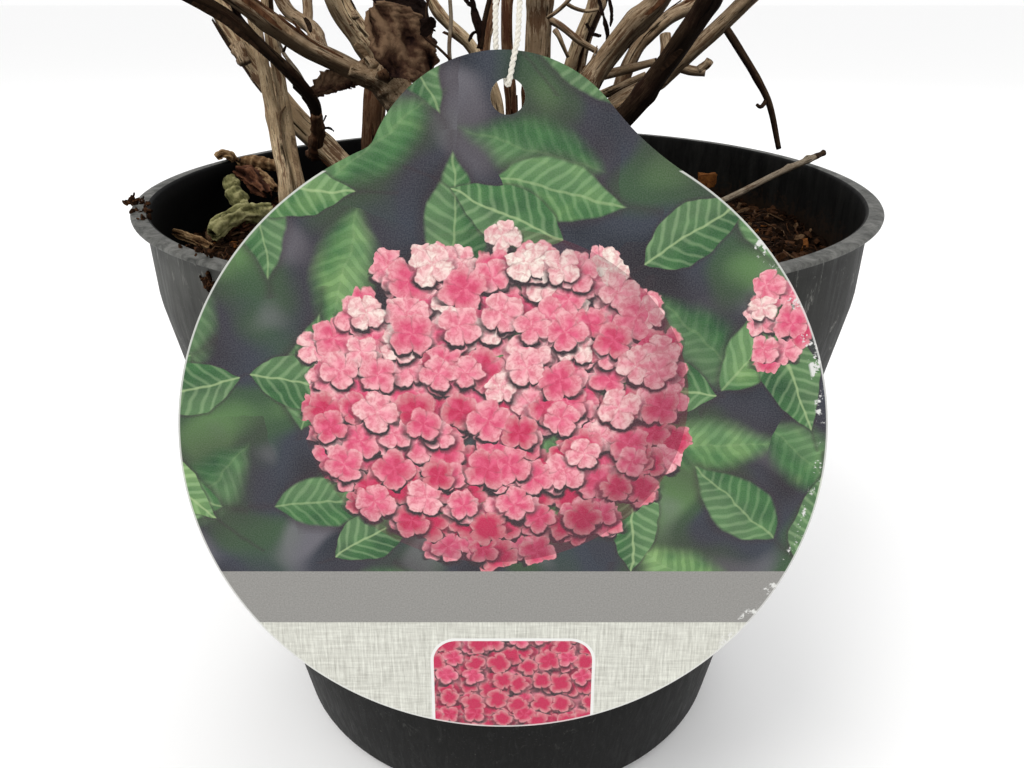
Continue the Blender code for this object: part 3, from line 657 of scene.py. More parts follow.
# Each limb: its diameters at foot and tip, how many times wider its root flares, and its stations. Sizes are
# in millimetres. A limb whose first station has no height starts on the soil.
LIMBS = {
    "trunk_left": (13.4, 10.6, 1.35, (-14, -8), (-19, -9, 192), (-28, -11, 210), (-36, -12, 223)),
    "trunk_right": (13.0, 10.4, 1.35, (6, -7), (9, -7, 190), (19, -5.5, 208)),
    "bough_left_upright": (
        7.2, 6.2, 1.0, (-35, -12, 221), (-41, -13, 232), (-48.5, -15, 244.5), (-58, -21, 285),
        (-62, -28, 320),
    ),
    "bough_left": (
        6.2, 4.4, 1.0, (-34, -12, 219), (-46, -15, 226), (-59, -21, 233.2), (-72, -30, 244.4),
        (-91, -34, 259), (-122, -30, 297),
    ),
    "stem_left_pale_front": (
        4.1, 3.3, 1.25, (-70, -18), (-69, -16, 192), (-71, -12, 202.5), (-72.7, -9, 217),
        (-75.2, -8, 241), (-84, -12, 305),
    ),
    "stem_left_pale_back": (
        4.1, 3.4, 1.25, (-64.5, -12), (-66, -12, 193), (-68, -8.5, 202), (-69.6, -5.2, 216),
        (-72, -2, 244.3), (-74, 22, 308),
    ),
    "stem_left_low": (
        7.8, 5.6, 1.3, (-39, -2), (-55, 0, 197), (-68, 4, 209), (-78.7, 8, 222), (-92.5, 13, 244.3),
        (-119, 29, 298),
    ),
    "bough_left_dark": (
        3.4, 4.3, 1.0, (-62, 1.5, 203.8), (-59.4, -6, 210.9), (-59, -11.5, 216.3), (-61.5, -18.5, 222.9),
        (-67.3, -24, 230.8), (-76.1, -29.5, 240.2), (-84, -34.5, 245.8), (-106, -50, 262),
        (-122, -66, 286),
    ),
    "bough_left_back": (
        4.4, 3.4, 1.0, (-53.5, -18.5, 230.7), (-58.5, -6, 236.8), (-69, 6, 243), (-96, 44, 298),
    ),
    "twig_left_upright": (
        3.2, 2.6, 1.0, (-60.3, -4, 237.6), (-60.5, 0, 241), (-60.7, 1.5, 245), (-59, 6, 274),
    ),
    "stem_rear_left": (
        8.2, 4.8, 1.3, (-44, 13), (-45, 11, 202), (-44, 11, 213), (-41, 14, 230), (-40, 22, 255),
        (-50, 44, 313),
    ),
    "stem_ochre": (
        3.8, 3.2, 1.3, (-4, 8), (-3, 9, 212), (-11, 10, 230), (-24, 12, 244.5), (-40, 20, 305),
    ),
    "stem_red": (
        3.5, 3.0, 1.3, (-9, 17), (-8, 14.5, 215), (-7, 16, 233), (-4.5, 22, 244.5), (-12, 62, 303),
    ),
    "stem_rear": (4.2, 3.3, 1.3, (3, 20), (1, 21, 215), (0, 26, 231), (0, 35, 244.5), (6, 84, 294)),
    "stem_middle": (
        8.8, 5.6, 1.3, (8, 9), (9, 6, 215), (10, 5, 244.5), (9, -10, 278), (6, -48, 318), (4, -78, 347),
    ),
    "twig_link": (2.4, 1.8, 1.0, (10, 5, 240), (16, 4, 237.4), (22.5, 3, 232.8), (28, 2, 229.8)),
    "stem_right_pale": (
        4.0, 3.2, 1.3, (13, 19), (17, 12, 212), (20.3, 10, 225.5), (23.8, 11, 235), (27, 12, 243),
        (42, 6, 313),
    ),
    "stem_right_back": (
        4.9, 3.6, 1.3, (20, 14), (22, 15, 210), (25, 17, 232), (30, 20, 244.5), (46, 50, 309),
    ),
    "bough_right_upright": (
        7.4, 5.0, 1.0, (18, -5.7, 206), (25, -5.5, 221), (36, -9, 236.5), (43.5, -12, 244.5),
        (66, -24, 285), (74, -32, 320),
    ),
    "bough_right_dark": (
        6.6, 5.0, 1.0, (10, -7, 190), (24, -12.5, 201), (35, -18, 213), (45, -25, 228), (53, -36, 244.5),
        (70, -84, 300),
    ),
    "bough_right": (
        5.6, 3.9, 1.0, (15, -6, 200), (27, -2, 209.5), (36.6, -2, 216.4), (47, -4, 222.2),
        (58.5, -6, 232.8), (70, -8, 244.4), (112, -14, 290),
    ),
    "stem_right_knee": (
        4.2, 3.6, 1.3, (27, 4), (33, 5, 205), (40.5, 6, 212.6), (46.6, 7, 220.4), (51, 9.5, 228),
        (50.6, 12.5, 234.3),
    ),
    "stem_right_rear": (
        5.0, 3.8, 1.3, (31, 17), (35, 13, 209), (41.5, 14, 229), (50.8, 16, 238.5), (60.8, 20, 244.4),
        (92, 46, 293),
    ),
    "twig_hanging": (
        2.5, 1.6, 1.0, (64.5, -7, 237.5), (69.9, -9, 230.2), (75.1, -9.5, 223.3), (80, -10, 215.5),
        (84.8, -10, 202.2),
    ),
    "twig_short_spur": (3.4, 2.8, 1.0, (51, -4.8, 226.5), (56, -5, 224.8), (60.5, -6, 224.4)),
    "twig_stub": (3.2, 2.2, 1.0, (27, -6, 223), (35.6, -1, 224.4), (45.7, -1, 227)),
    "twig_crossing": (3.2, 2.6, 1.0, (22.5, 15, 213), (30, 9, 216), (44, 4, 222.6)),
}
print(len(LIMBS), "limbs")


# %% Lines through the stations
def bend(start, lean_in, end, lean_out, t):
    """The point at a share of the way along a curve that has a given lean at each end."""
    return (
        start * (2 * t**3 - 3 * t**2 + 1)
        + lean_in * (t**3 - 2 * t**2 + t)
        + end * (3 * t**2 - 2 * t**3)
        + lean_out * (t**3 - t**2)
    )


def smooth_line(stations, step, cyclic=False):
    """Points about a step apart along a smooth line through the stations."""
    last = len(stations) - 1
    points = []
    spans = last + 1 if cyclic else last

    def station(index):
        if cyclic:
            return stations[index % (last + 1)]
        if index < 0:
            return stations[0] * 2 - stations[1]
        if index > last:
            return stations[last] * 2 - stations[last - 1]
        return stations[index]

    for span in range(spans):
        before, start, end, after = (station(span + offset) for offset in (-1, 0, 1, 2))
        length = (end - start).length
        lean_in = (end - before) * (length / max((end - start).length + (start - before).length, 1e-9))
        lean_out = (after - start) * (length / max((after - end).length + (end - start).length, 1e-9))
        pieces = max(1, round(length / step))
        for piece in range(pieces):
            points.append(bend(start, lean_in, end, lean_out, piece / pieces))
    if not cyclic:
        points.append(stations[-1])
    return points


def line_through(stations, step):
    """Points about a step apart along a smooth line. Stations and step are in millimetres."""
    return smooth_line([Vector(place) * MM for place in stations], step * MM)


def frame_along(frames, share):
    """The centre in millimetres and the two directions across, at a share of the way along the frames."""
    index = min(share * (len(frames) - 1), len(frames) - 1.001)
    near = int(index)
    centre, side, up = frames[near]
    return centre.lerp(frames[near + 1][0], index - near) / MM, side, up


def limb_line(name, step=LIMB_STEP):
    """The centre line and radii in millimetres of a limb. A limb from the soil starts upright."""
    foot_diameter, tip_diameter, flare, *stations = LIMBS[name]
    rooted = len(stations[0]) == 2
    places = [Vector(place) * MM for place in stations[rooted:]]
    if rooted:
        foot = Vector((stations[0][0], stations[0][1], FOOT_LEVEL)) * MM
        places.insert(0, foot + Vector((0, 0, UPRIGHT_FOOT * MM)))
    points = smooth_line(places, step * MM)
    if rooted:
        points.insert(0, foot)
    runs = runs_along(points, MM)
    radii = []
    for run in runs:
        share = run / runs[-1]
        flared = 1 + (flare - 1) * math.exp(-run / FLARE_RUN)
        radii.append((foot_diameter + (tip_diameter - foot_diameter) * share) / 2 * flared)
    return points, radii


limb_lines = {name: limb_line(name) for name in LIMBS}
print("longest limb has", max(len(points) for points, _ in limb_lines.values()), "points")

# %% [markdown]
# Hydrangea bark is stringy. On stems of a few years it splits along its length and peels in red-brown
# strips from pale wood, with a swollen ring at each old pair of buds. The strips run for centimetres along
# the limb and are only a millimetre or two wide, so the noise that lifts the surface is drawn out along the
# limb.

# %% Bark relief
BARK_STEP = 1.25
SIDE_WIDTH = 1.0
NODE_GAP = (17, 34)
NODE_SWELL = 0.17
NODE_HALF_WIDTH = 2.1
LAST_NODE_FROM_TIP = 4
SMOOTH_BARK = 0.75


class Bark:
    """The relief of one limb: strips, fibres, lumps and the rings of old buds."""

    def __init__(self, name, length, chance):
        self.shift = Vector((chance.uniform(0, 90), chance.uniform(0, 90), chance.uniform(0, 90)))
        self.stretch = 400.0 * chance.random()
        self.roughness = SMOOTH_BARK if "pale" in name or "twig" in name else 1.0
        self.nodes = []
        run = chance.uniform(*NODE_GAP) * 0.6
        while run < length - LAST_NODE_FROM_TIP:
            self.nodes.append((run, chance.uniform(0.6, 1.2), chance.uniform(0, math.tau)))
            run += chance.uniform(*NODE_GAP)

    def height(self, run, angle, radius):
        """How far the bark stands out from the limb's mean surface, in millimetres."""
        x, y = math.cos(angle) * radius, math.sin(angle) * radius
        strips = noise.noise(Vector((x * 0.55, y * 0.55, run * 0.055)) + self.shift)
        plate = max(-1.0, min(1.0, strips * 5.0)) * 0.055 * radius
        fibres = noise.noise(Vector((x * 1.5, y * 1.5, run * 0.11)) + self.shift * 2) * 0.06 * radius
        lumps = noise.noise(Vector((angle * 0.2, 3.0, run * 0.09)) + self.shift * 3) * 0.08 * radius
        swell = 0.0
        for node, size, facing in self.nodes:
            near = math.exp(-(((run - node) / NODE_HALF_WIDTH) ** 2))
            swell += NODE_SWELL * size * radius * near * (0.75 + 0.25 * math.cos(2 * (angle - facing)))
        return (plate + fibres) * self.roughness + lumps + swell


def make_bark(name, chance):
    """The bark of one limb as a tube with relief."""
    points, radii = limb_line(name, BARK_STEP)
    bark = Bark(name, line_length(points), chance)
    sides = max(12, round(math.tau * radii[0] / SIDE_WIDTH))

    def radius_at(ring, run, angle):
        return radii[ring] + bark.height(run, angle, radii[ring])

    return grow_tube(points, radius_at, sides, bark.stretch), bark


print("bark relief is ready")


# %% Bark finishes
def make_bark_finish(name, pale, mid, red, crevice_and_painted_shade, age):
    """Pale wood, mid-brown fibres, red-brown strips, splits darkened partly as painted shade, painted shade
    below.
    """
    material, tree, shader = start_finish(name, 0.85, 0.05)
    strips = cloud(tree, place_on_bark(tree, (1, 1, 0.10)), 1.3, 5, 0.66, 0.4)
    fibres = cloud(tree, place_on_bark(tree, (1, 1, 0.06)), 0.36, 4, 0.75)
    patches = cloud(tree, place_on_bark(tree, (0.5, 0.5, 0.35)), 5.0, 4, 0.65)
    specks = cloud(tree, place_on_bark(tree), 0.42, 3, 0.65)
    wood = ramp(tree, fibres, ((0.34, mid), (0.60, pale)))
    strip_share = sum_of(tree, "ADD", strips, times_plus(tree, patches, 0.7, -0.35 + age))
    wood = blend(tree, ramp(tree, strip_share, ((0.52, 0.0), (0.58, 0.85))), wood, red)
    stained = ramp(tree, patches, ((0.40, 0.75), (0.56, 0.0)))
    wood = blend(tree, stained, wood, mid)
    # Dark splits: partly the bark's own dark and partly painted shade in the splits.
    split = ramp(tree, strips, ((0.36, 1.0), (0.43, 0.0)))
    wood = blend(tree, times(tree, split, 0.95), wood, crevice_and_painted_shade)
    wood = blend(tree, ramp(tree, specks, ((0.60, 0.0), (0.70, 0.7))), wood, crevice_and_painted_shade)
    # Painted shade: faces that point down are darkened, as if lit from above.
    facing = parts_of(tree, tree.nodes.new("ShaderNodeNewGeometry").outputs["Normal"])
    upward = times_plus(tree, facing["Z"], 0.5, 0.5)
    upward = times_plus(tree, patches, 0.3, sum_of(tree, "SUBTRACT", upward, 0.15))
    wood = blend(tree, ramp(tree, upward, ((0.28, 0.85), (0.62, 0.0))), wood, crevice_and_painted_shade)
    dress(tree, shader, wood, times_plus(tree, fibres, 0.6, strips), 1.1, 1.0)
    return material


BARK_TAN = make_bark_finish(
    "bark_tan", (0.63, 0.485, 0.325), (0.265, 0.175, 0.10), (0.115, 0.052, 0.024),
    (0.010, 0.005, 0.002), -0.01,
)
BARK_PALE = make_bark_finish(
    "bark_pale", (0.82, 0.65, 0.42), (0.42, 0.285, 0.16), (0.14, 0.058, 0.030), (0.016, 0.008, 0.004), -0.03
)
BARK_DARK = make_bark_finish(
    "bark_dark", (0.075, 0.046, 0.027), (0.024, 0.013, 0.007), (0.020, 0.008, 0.005),
    (0.003, 0.0015, 0.001), 0.02,
)
BARK_RED = make_bark_finish(
    "bark_red", (0.32, 0.19, 0.11), (0.13, 0.065, 0.034), (0.085, 0.028, 0.014), (0.009, 0.004, 0.002), 0.03
)
# The limbs whose bark isn't the tan one
BARK_OF = {
    **dict.fromkeys(("bough_left_dark", "bough_right_dark", "twig_hanging"), BARK_DARK),
    **dict.fromkeys(("stem_left_pale_front", "stem_left_pale_back", "stem_left_low"), BARK_PALE),
    **dict.fromkeys(("stem_ochre", "bough_left_upright", "stem_right_pale"), BARK_PALE),
    **dict.fromkeys(("stem_red", "stem_rear_left", "stem_rear"), BARK_RED),
}
print("bark finishes are ready")

# %% Write the limbs
bark_chance = random.Random(21)
bark_of_limb = {}
for limb in LIMBS:
    body, bark_of_limb[limb] = make_bark(limb, bark_chance)
    finish = BARK_OF.get(limb, BARK_TAN)
    slot = "bark_dark" if finish is BARK_DARK else "bark_tan"
    write_piece(f"bark_{limb}", body, [finish], slot, [limb])

# %% [markdown]
# ## Loose bark
# Between the rings of old buds the bark comes away in ribbons. Some lie flat on the limb, and some have
# sprung free at one end and curl outward. Each is a narrow sheet laid along its limb's surface and
# thickened.

# %% Thin sheets
def make_sheet(rows, columns, place, thickness, kind=0, shade=None):
    """A thin solid from a grid. Place gives a corner's point by its shares along and across.

    The share along runs from 0 to 1 and the one across from -1 to 1. Shade gives a number from the same two
    shares, which the leaf finishes turn into painted light on raised folds and painted shade in creases.
    """
    sheet = new_body()
    layer = sheet.verts.layers.float_vector["bark"]
    bmesh.ops.create_grid(sheet, x_segments=rows, y_segments=columns, size=0.5)
    for corner in sheet.verts:
        along, across = corner.co.x + 0.5, corner.co.y * 2
        corner.co = place(along, across) * MM
        corner[layer] = (along, across, shade(along, across) if shade else 0.5)
    sheet.normal_update()
    drawn = bmesh.ops.extrude_face_region(sheet, geom=list(sheet.faces))["geom"]
    for item in drawn:
        if isinstance(item, bmesh.types.BMVert):
            item.co += item.normal * thickness * MM
    face_outward(sheet)
    paint(sheet, kind)
    return sheet


PEEL_FROM_TIP = 6
PEEL_THICKNESS = 0.22
PEEL_LENGTH = (7, 26)
PEEL_WIDTH = (0.7, 2.0)
PEELS_PER_RADIUS = 3.5
THINNEST_PEELING = 3.3


def peel_strip(frames, radii, bark, start, rows, facing, width, spring, droop, kind):
    """A ribbon of bark that starts at a ring of the limb and springs free towards its end."""

    def place(along, across):
        index = min(start + along * rows, len(frames) - 1)
        near = int(index)
        centre, side, up = frames[near]
        ahead = frames[min(near + 1, len(frames) - 1)][0]
        centre = centre.lerp(ahead, index - near) / MM
        narrow = 1 - 0.55 * abs(2 * along - 1) ** 3
        turn = facing + 0.35 * along + across * width * narrow / 2 / radii[near]
        free = max(0.0, (along - 0.35) / 0.65)
        out = radii[near] + bark.height(near * BARK_STEP, turn, radii[near]) + 0.12 + spring * free**2.2
        out += 0.25 * abs(across) * free
        return centre + (side * math.cos(turn) + up * math.sin(turn)) * out - Vector((0, 0, droop * free**3))

    return make_sheet(max(4, rows // 3), 2, place, PEEL_THICKNESS, kind)


def peel_limb(joined, limb, count, chance):
    """Ribbons of loose bark all over one limb."""
    points, radii = limb_line(limb, BARK_STEP)
    frames = transported_frames(points)
    for _ in range(count):
        rows = round(chance.uniform(*PEEL_LENGTH) / BARK_STEP)
        if len(points) < rows + PEEL_FROM_TIP + 4:
            continue
        start = chance.randrange(2, len(points) - rows - PEEL_FROM_TIP)
        width = chance.uniform(*PEEL_WIDTH)
        spring = chance.choice((0.15, 0.3, 0.5, 1.0, 2.2))
        kind = chance.choices((0, 1, 2), (4, 3, 2))[0]
        if BARK_OF.get(limb) is BARK_DARK:
            kind = 2
        facing = chance.uniform(0, math.tau)
        droop = chance.uniform(0, 1.0) * spring
        bark = bark_of_limb[limb]
        pour(joined, peel_strip(frames, radii, bark, start, rows, facing, width, spring, droop, kind))


PEEL_FINISHES = [
    make_flake_finish("peel_red", (0.105, 0.048, 0.024), (0.028, 0.011, 0.005)),
    make_flake_finish("peel_pale", (0.34, 0.235, 0.14), (0.10, 0.06, 0.032)),
    make_flake_finish("peel_dark", (0.030, 0.016, 0.009), (0.005, 0.003, 0.002)),
]
peeling = new_body()
peel_chance = random.Random(33)
for limb, (thick, *_) in LIMBS.items():
    if thick > THINNEST_PEELING and "twig" not in limb:
        peel_limb(peeling, limb, round(PEELS_PER_RADIUS * thick / 2), peel_chance)
write_piece("peeling_bark", peeling, PEEL_FINISHES, "bark_tan", smooth=False)

# %% [markdown]
# ## Withered leaves
# Last year's leaves hang dead on the stems or have dropped on the soil. The one in the fork and the one
# under the bough are flat blades that have crumpled as they dried. Those on the soil have rolled up along
# their length. The olive green one lies in two pieces, with its side veins standing out as ribs. A straw
# brown one and a red one lie against the wall behind it, and a tip curls up over the rim. The deep folds
# come from noise that is folded at zero, which gives sharp ridges and round hollows, as in crumpled paper.

# %% Crumpled blades
# Each blade: its middle in millimetres, turns about X, Y and Z in degrees, length, width, share of a turn
# that it rolls up, and how deep its creases are.
BLADES = {
    "withered_leaf_trunk": ((-29.9, -23.6, 233.2), (80, 52, 8), 24, 18.5, 0.24, 2.1),
    "withered_leaf_hanging": ((-51.1, -12.5, 221.6), (-60, -16, 6), 15.5, 8.6, 0.20, 1.2),
}
VEIN_GAP = 2.6
LEAF_THICKNESS = 0.3
BLADE_ROWS = 58
BLADE_COLUMNS = 34


def make_blade(name):
    """A dry pointed blade, rolled across its width, creased at random and ribbed by its side veins."""
    centre, turns, length, width, curl, crease = BLADES[name]
    shift = Vector((length * 3.3, width * 2.1, 5.0))
    basis = Matrix.LocRotScale(Vector(centre), Euler([math.radians(turn) for turn in turns]), None)

    def fold_at(along, across):
        return 1 - 2.4 * abs(noise.fractal(Vector((along * 2.0, across * 1.1, 0)) + shift, 1.15, 2.3, 3))

    def place(along, across):
        lengthwise = along - 0.5
        outline = max(0.1, math.cos(math.pi * lengthwise * 0.94) ** 0.6)
        outline *= 1 + 0.14 * noise.noise(Vector((along * 9, across * 2, 1)) + shift)
        roll = math.pi * curl * across
        reach = width / 2 * outline / (math.pi * curl)
        sag = -0.35 * length * lengthwise**2
        rib = 0.25 * math.sin(math.tau * (along * length - 0.5 * abs(across) * width) / VEIN_GAP)
        height = reach * (1 - math.cos(roll)) + sag + crease * fold_at(along, across)
        height += rib * min(1.0, abs(across) * 3)
        ragged = (0.4 + 0.9 * across**4) * noise.noise(Vector((along * 17, across * 6, 9)) + shift)
        return basis @ Vector((lengthwise * length + ragged, reach * math.sin(roll) + ragged, height))

    # Painted light and shade for the leaf finish: paler on raised folds, darker in creases, and paler towards
    # the start of the blade.
    def shade(along, across):
        return max(0.0, fold_at(along, across)) * 0.7 + 0.5 * (1 - along)

    return make_sheet(BLADE_ROWS, BLADE_COLUMNS, place, LEAF_THICKNESS, shade=shade)


def make_leaf_finish(name, pale, mid, dark):
    """A dry leaf: blotched, with painted light on its raised folds and painted shade in its creases."""
    material, tree, shader = start_finish(name, 0.8, 0.05)
    blotches = cloud(tree, place_in_object(tree), 4.5, 5, 0.7, 0.8)
    fine = cloud(tree, place_in_object(tree), 0.9, 4, 0.7)
    # Painted light and shade: the number kept on each corner makes raised folds and ribs paler and creases
    # darker.
    painted_fold_light_and_shade = parts_of(tree, place_on_bark(tree))["Z"]
    tone = times_plus(tree, fine, 0.25, times(tree, blotches, 0.45))
    tone = times_plus(tree, painted_fold_light_and_shade, 0.34, tone)
    colour = ramp(tree, tone, ((0.36, dark), (0.52, mid), (0.68, pale)))
    dress(tree, shader, colour, times_plus(tree, fine, 0.5, blotches), 0.8, 0.9)
    return material


LEAF_BROWN, LEAF_RED, LEAF_BLACK, LEAF_GREEN, LEAF_STRAW = (
    make_leaf_finish(name, pale, mid, dark) for name, pale, mid, dark in (
        ("leaf_brown", (0.17, 0.105, 0.062), (0.062, 0.031, 0.019), (0.010, 0.004, 0.004)),
        ("leaf_red", (0.17, 0.075, 0.040), (0.060, 0.022, 0.012), (0.010, 0.004, 0.003)),
        ("leaf_black", (0.024, 0.012, 0.009), (0.008, 0.004, 0.003), (0.002, 0.001, 0.001)),
        ("leaf_green", (0.47, 0.44, 0.22), (0.19, 0.185, 0.075), (0.030, 0.030, 0.012)),
        ("leaf_straw", (0.40, 0.27, 0.14), (0.17, 0.095, 0.045), (0.022, 0.010, 0.005)),
    )
)
for name, leaf in (("leaf_in_fork", "withered_leaf_trunk"), ("leaf_under_bough", "withered_leaf_hanging")):
    write_piece(name, make_blade(leaf), [LEAF_BROWN], "leaf_brown", [leaf])

# %% Rolled leaves
# Each roll: its widest radius in millimetres, how far round it is rolled in turns, the distance between its
# ribs, how high they stand, how deep its lengthwise folds are as a share of the radius, and its stations.
GREEN_ROLLS = (
    (
        3.0, 1.25, 3.3, 0.26, 0.16, (-95.8, 14, 188.7), (-94.3, 11, 185.5), (-92.2, 8, 182.6),
        (-88.6, 4, 180.1),
    ),
    (
        3.3, 1.2, 3.0, 0.10, 0.40, (-94, -15.5, 176.0), (-91.5, -10.5, 178.6), (-88, -5.5, 180.2),
        (-84.5, -2, 180.6), (-79, 1, 181.0),
    ),
)
BROWN_ROLLS = (
    (
        2.7, 1.2, 2.7, 0.20, 0.16, (-101.1, 44, 189.3), (-95.8, 46, 188.2), (-89.7, 48, 186.5),
        (-84, 49, 185),
    ),
    (2.0, 0.9, 3.1, 0.12, 0.3, (-94.5, 39, 186.5), (-89.3, 34, 183.9), (-84.8, 28, 181.5)),
    (1.8, 0.55, 3.4, 0.06, 0.45, (-106.6, -15.5, 176.9), (-100.0, -18, 175.4), (-93.5, -20.5, 173.6)),
)
RED_ROLLS = (
    (
        3.5, 0.8, 3.3, 0.05, 0.5, (-100.2, 36, 186.7), (-95.8, 33.5, 185.2), (-91.0, 29, 182.9),
        (-86.5, 24, 180.6),
    ),
    (2.4, 0.7, 3.3, 0.05, 0.5, (-82.0, 14, 178.6), (-86.0, 4, 177.4), (-87.5, -8, 176.4)),
)
TIP_ROLLS = (
    (
        2.0, 0.7, 2.4, 0.05, 0.5, (-107.6, 38.0, 190.9), (-105.8, 39, 192.0), (-104.0, 40, 191.4),
        (-103.2, 42, 189.1), (-102.2, 43, 187),
    ),
)
ROLL_STEP = 0.5
ROLL_COLUMNS = 44
ROLL_ROW = 0.36


def roll_leaf(radius, turns, rib_gap, rib_height, folds, *stations):
    """A leaf rolled up along a bent line. Its edge goes in as it goes round, and its ribs stand out."""
    points = line_through(stations, ROLL_STEP)
    frames = transported_frames(points)
    length = ROLL_STEP * len(points)
    shift = Vector(stations[0])

    def rib(along, across):
        drift = 2.4 * noise.noise(shift + Vector((along * 3, across * 2, 0)))
        wave = math.sin(math.pi * (along * length + 1.1 * abs(across) + drift) / rib_gap)
        return 1 - abs(wave) ** 0.7

    def fold_at(along, across):
        return 1 - 2.4 * abs(noise.fractal(Vector((along * 1.4, across * 2.9, 4)) + shift, 0.7, 2.1, 3))

    # Painted light and shade for the leaf finish: paler on the ribs and raised folds, darker between them.
    def shade(along, across):
        folded = min(1.0, 2 * folds)
        return 0.2 + 0.75 * ((1 - folded) * rib(along, across) + folded * max(0.0, fold_at(along, across)))

    def place(along, across):
        centre, side, up = frame_along(frames, along)
        narrow = max(0.4, math.sin(math.pi * (0.12 + 0.76 * along)) ** 0.5)
        turn = math.pi * turns * across + 1.2
        wind = 1 - 0.26 * max(0.0, across)
        crumple = 0.4 * radius * noise.fractal(Vector((along * 2.6, across * 1.6, 0)) + shift, 0.8, 2.1, 3)
        folded = folds * (fold_at(along, across) - 0.5)
        out = radius * narrow * (wind + folded) + rib_height * (rib(along, across) - 0.4) + crumple
        return centre + (side * math.cos(turn) + up * math.sin(turn)) * out

    return make_sheet(max(14, round(length / ROLL_ROW)), ROLL_COLUMNS, place, LEAF_THICKNESS, shade=shade)


for name, rolls, finish, slot, replaced in (
    ("rolled_green_leaf", GREEN_ROLLS, LEAF_GREEN, "leaf_green", ["fallen_leaf_green"]),
    ("rolled_brown_leaf", BROWN_ROLLS, LEAF_STRAW, "leaf_brown", ["fallen_leaf_brown"]),
    ("rolled_red_leaf", RED_ROLLS, LEAF_RED, "leaf_brown", []),
    ("curled_leaf_tip", TIP_ROLLS, LEAF_STRAW, "leaf_brown", []),
):
    leaf = new_body()
    for roll in rolls:
        pour(leaf, roll_leaf(*roll))
    write_piece(name, leaf, [finish], slot, replaced)

# %% [markdown]
# ## The loose stick, stubs and wisps
# A broken stick lies across the soil and the rim. Its bark is grey, with a knob where a side shoot was, and
# its broken end is black. In among the limbs there are broken stubs, leaf stalks and thin dead shoots.

# %% Sticks, stubs and wisps
STICK_GREY = make_bark_finish(
    "stick_grey", (0.40, 0.34, 0.26), (0.20, 0.15, 0.10), (0.12, 0.07, 0.04), (0.03, 0.018, 0.01), -0.04
)
STICK_STATIONS = (
    (41, -22, 177.2), (60, -8.6, 181.0), (77.5, 3.5, 185.4), (96, 17.2, 190.3), (114, 30, 194.3),
)
# Each knob: how far along the stick, how high, and half its width.
STICK_KNOBS = ((72, 0.5, 1.6), (82.5, 0.75, 1.4), (91.5, 0.45, 0.8))
STICK_RADIUS = 1.22
STICK_WORN_FROM = 88
STICK_BLACK_END = 5.5


def stick_radius(ring, run, angle):
    """The stick's radius: a little uneven, with knobs, and thinner towards its broken end."""
    radius = STICK_RADIUS * (1 + 0.10 * noise.noise(Vector((math.cos(angle), math.sin(angle), run * 0.12))))
    for place, size, half_width in STICK_KNOBS:
        near = math.exp(-(((run - place) / half_width) ** 2))
        radius += size * near * (0.65 + 0.35 * math.cos(angle - 1.0))
    return radius * (0.92 if run < STICK_WORN_FROM else 0.8)


stick = grow_tube(line_through(STICK_STATIONS, 0.9), stick_radius, 12)
stick_end = Vector(STICK_STATIONS[-1]) * MM
for face in stick.faces:
    face.material_index = int((face.calc_center_median() - stick_end).length < STICK_BLACK_END * MM)
write_piece("broken_stick", stick, [STICK_GREY, BARK_DARK], "bark_tan", ["loose_stick"])

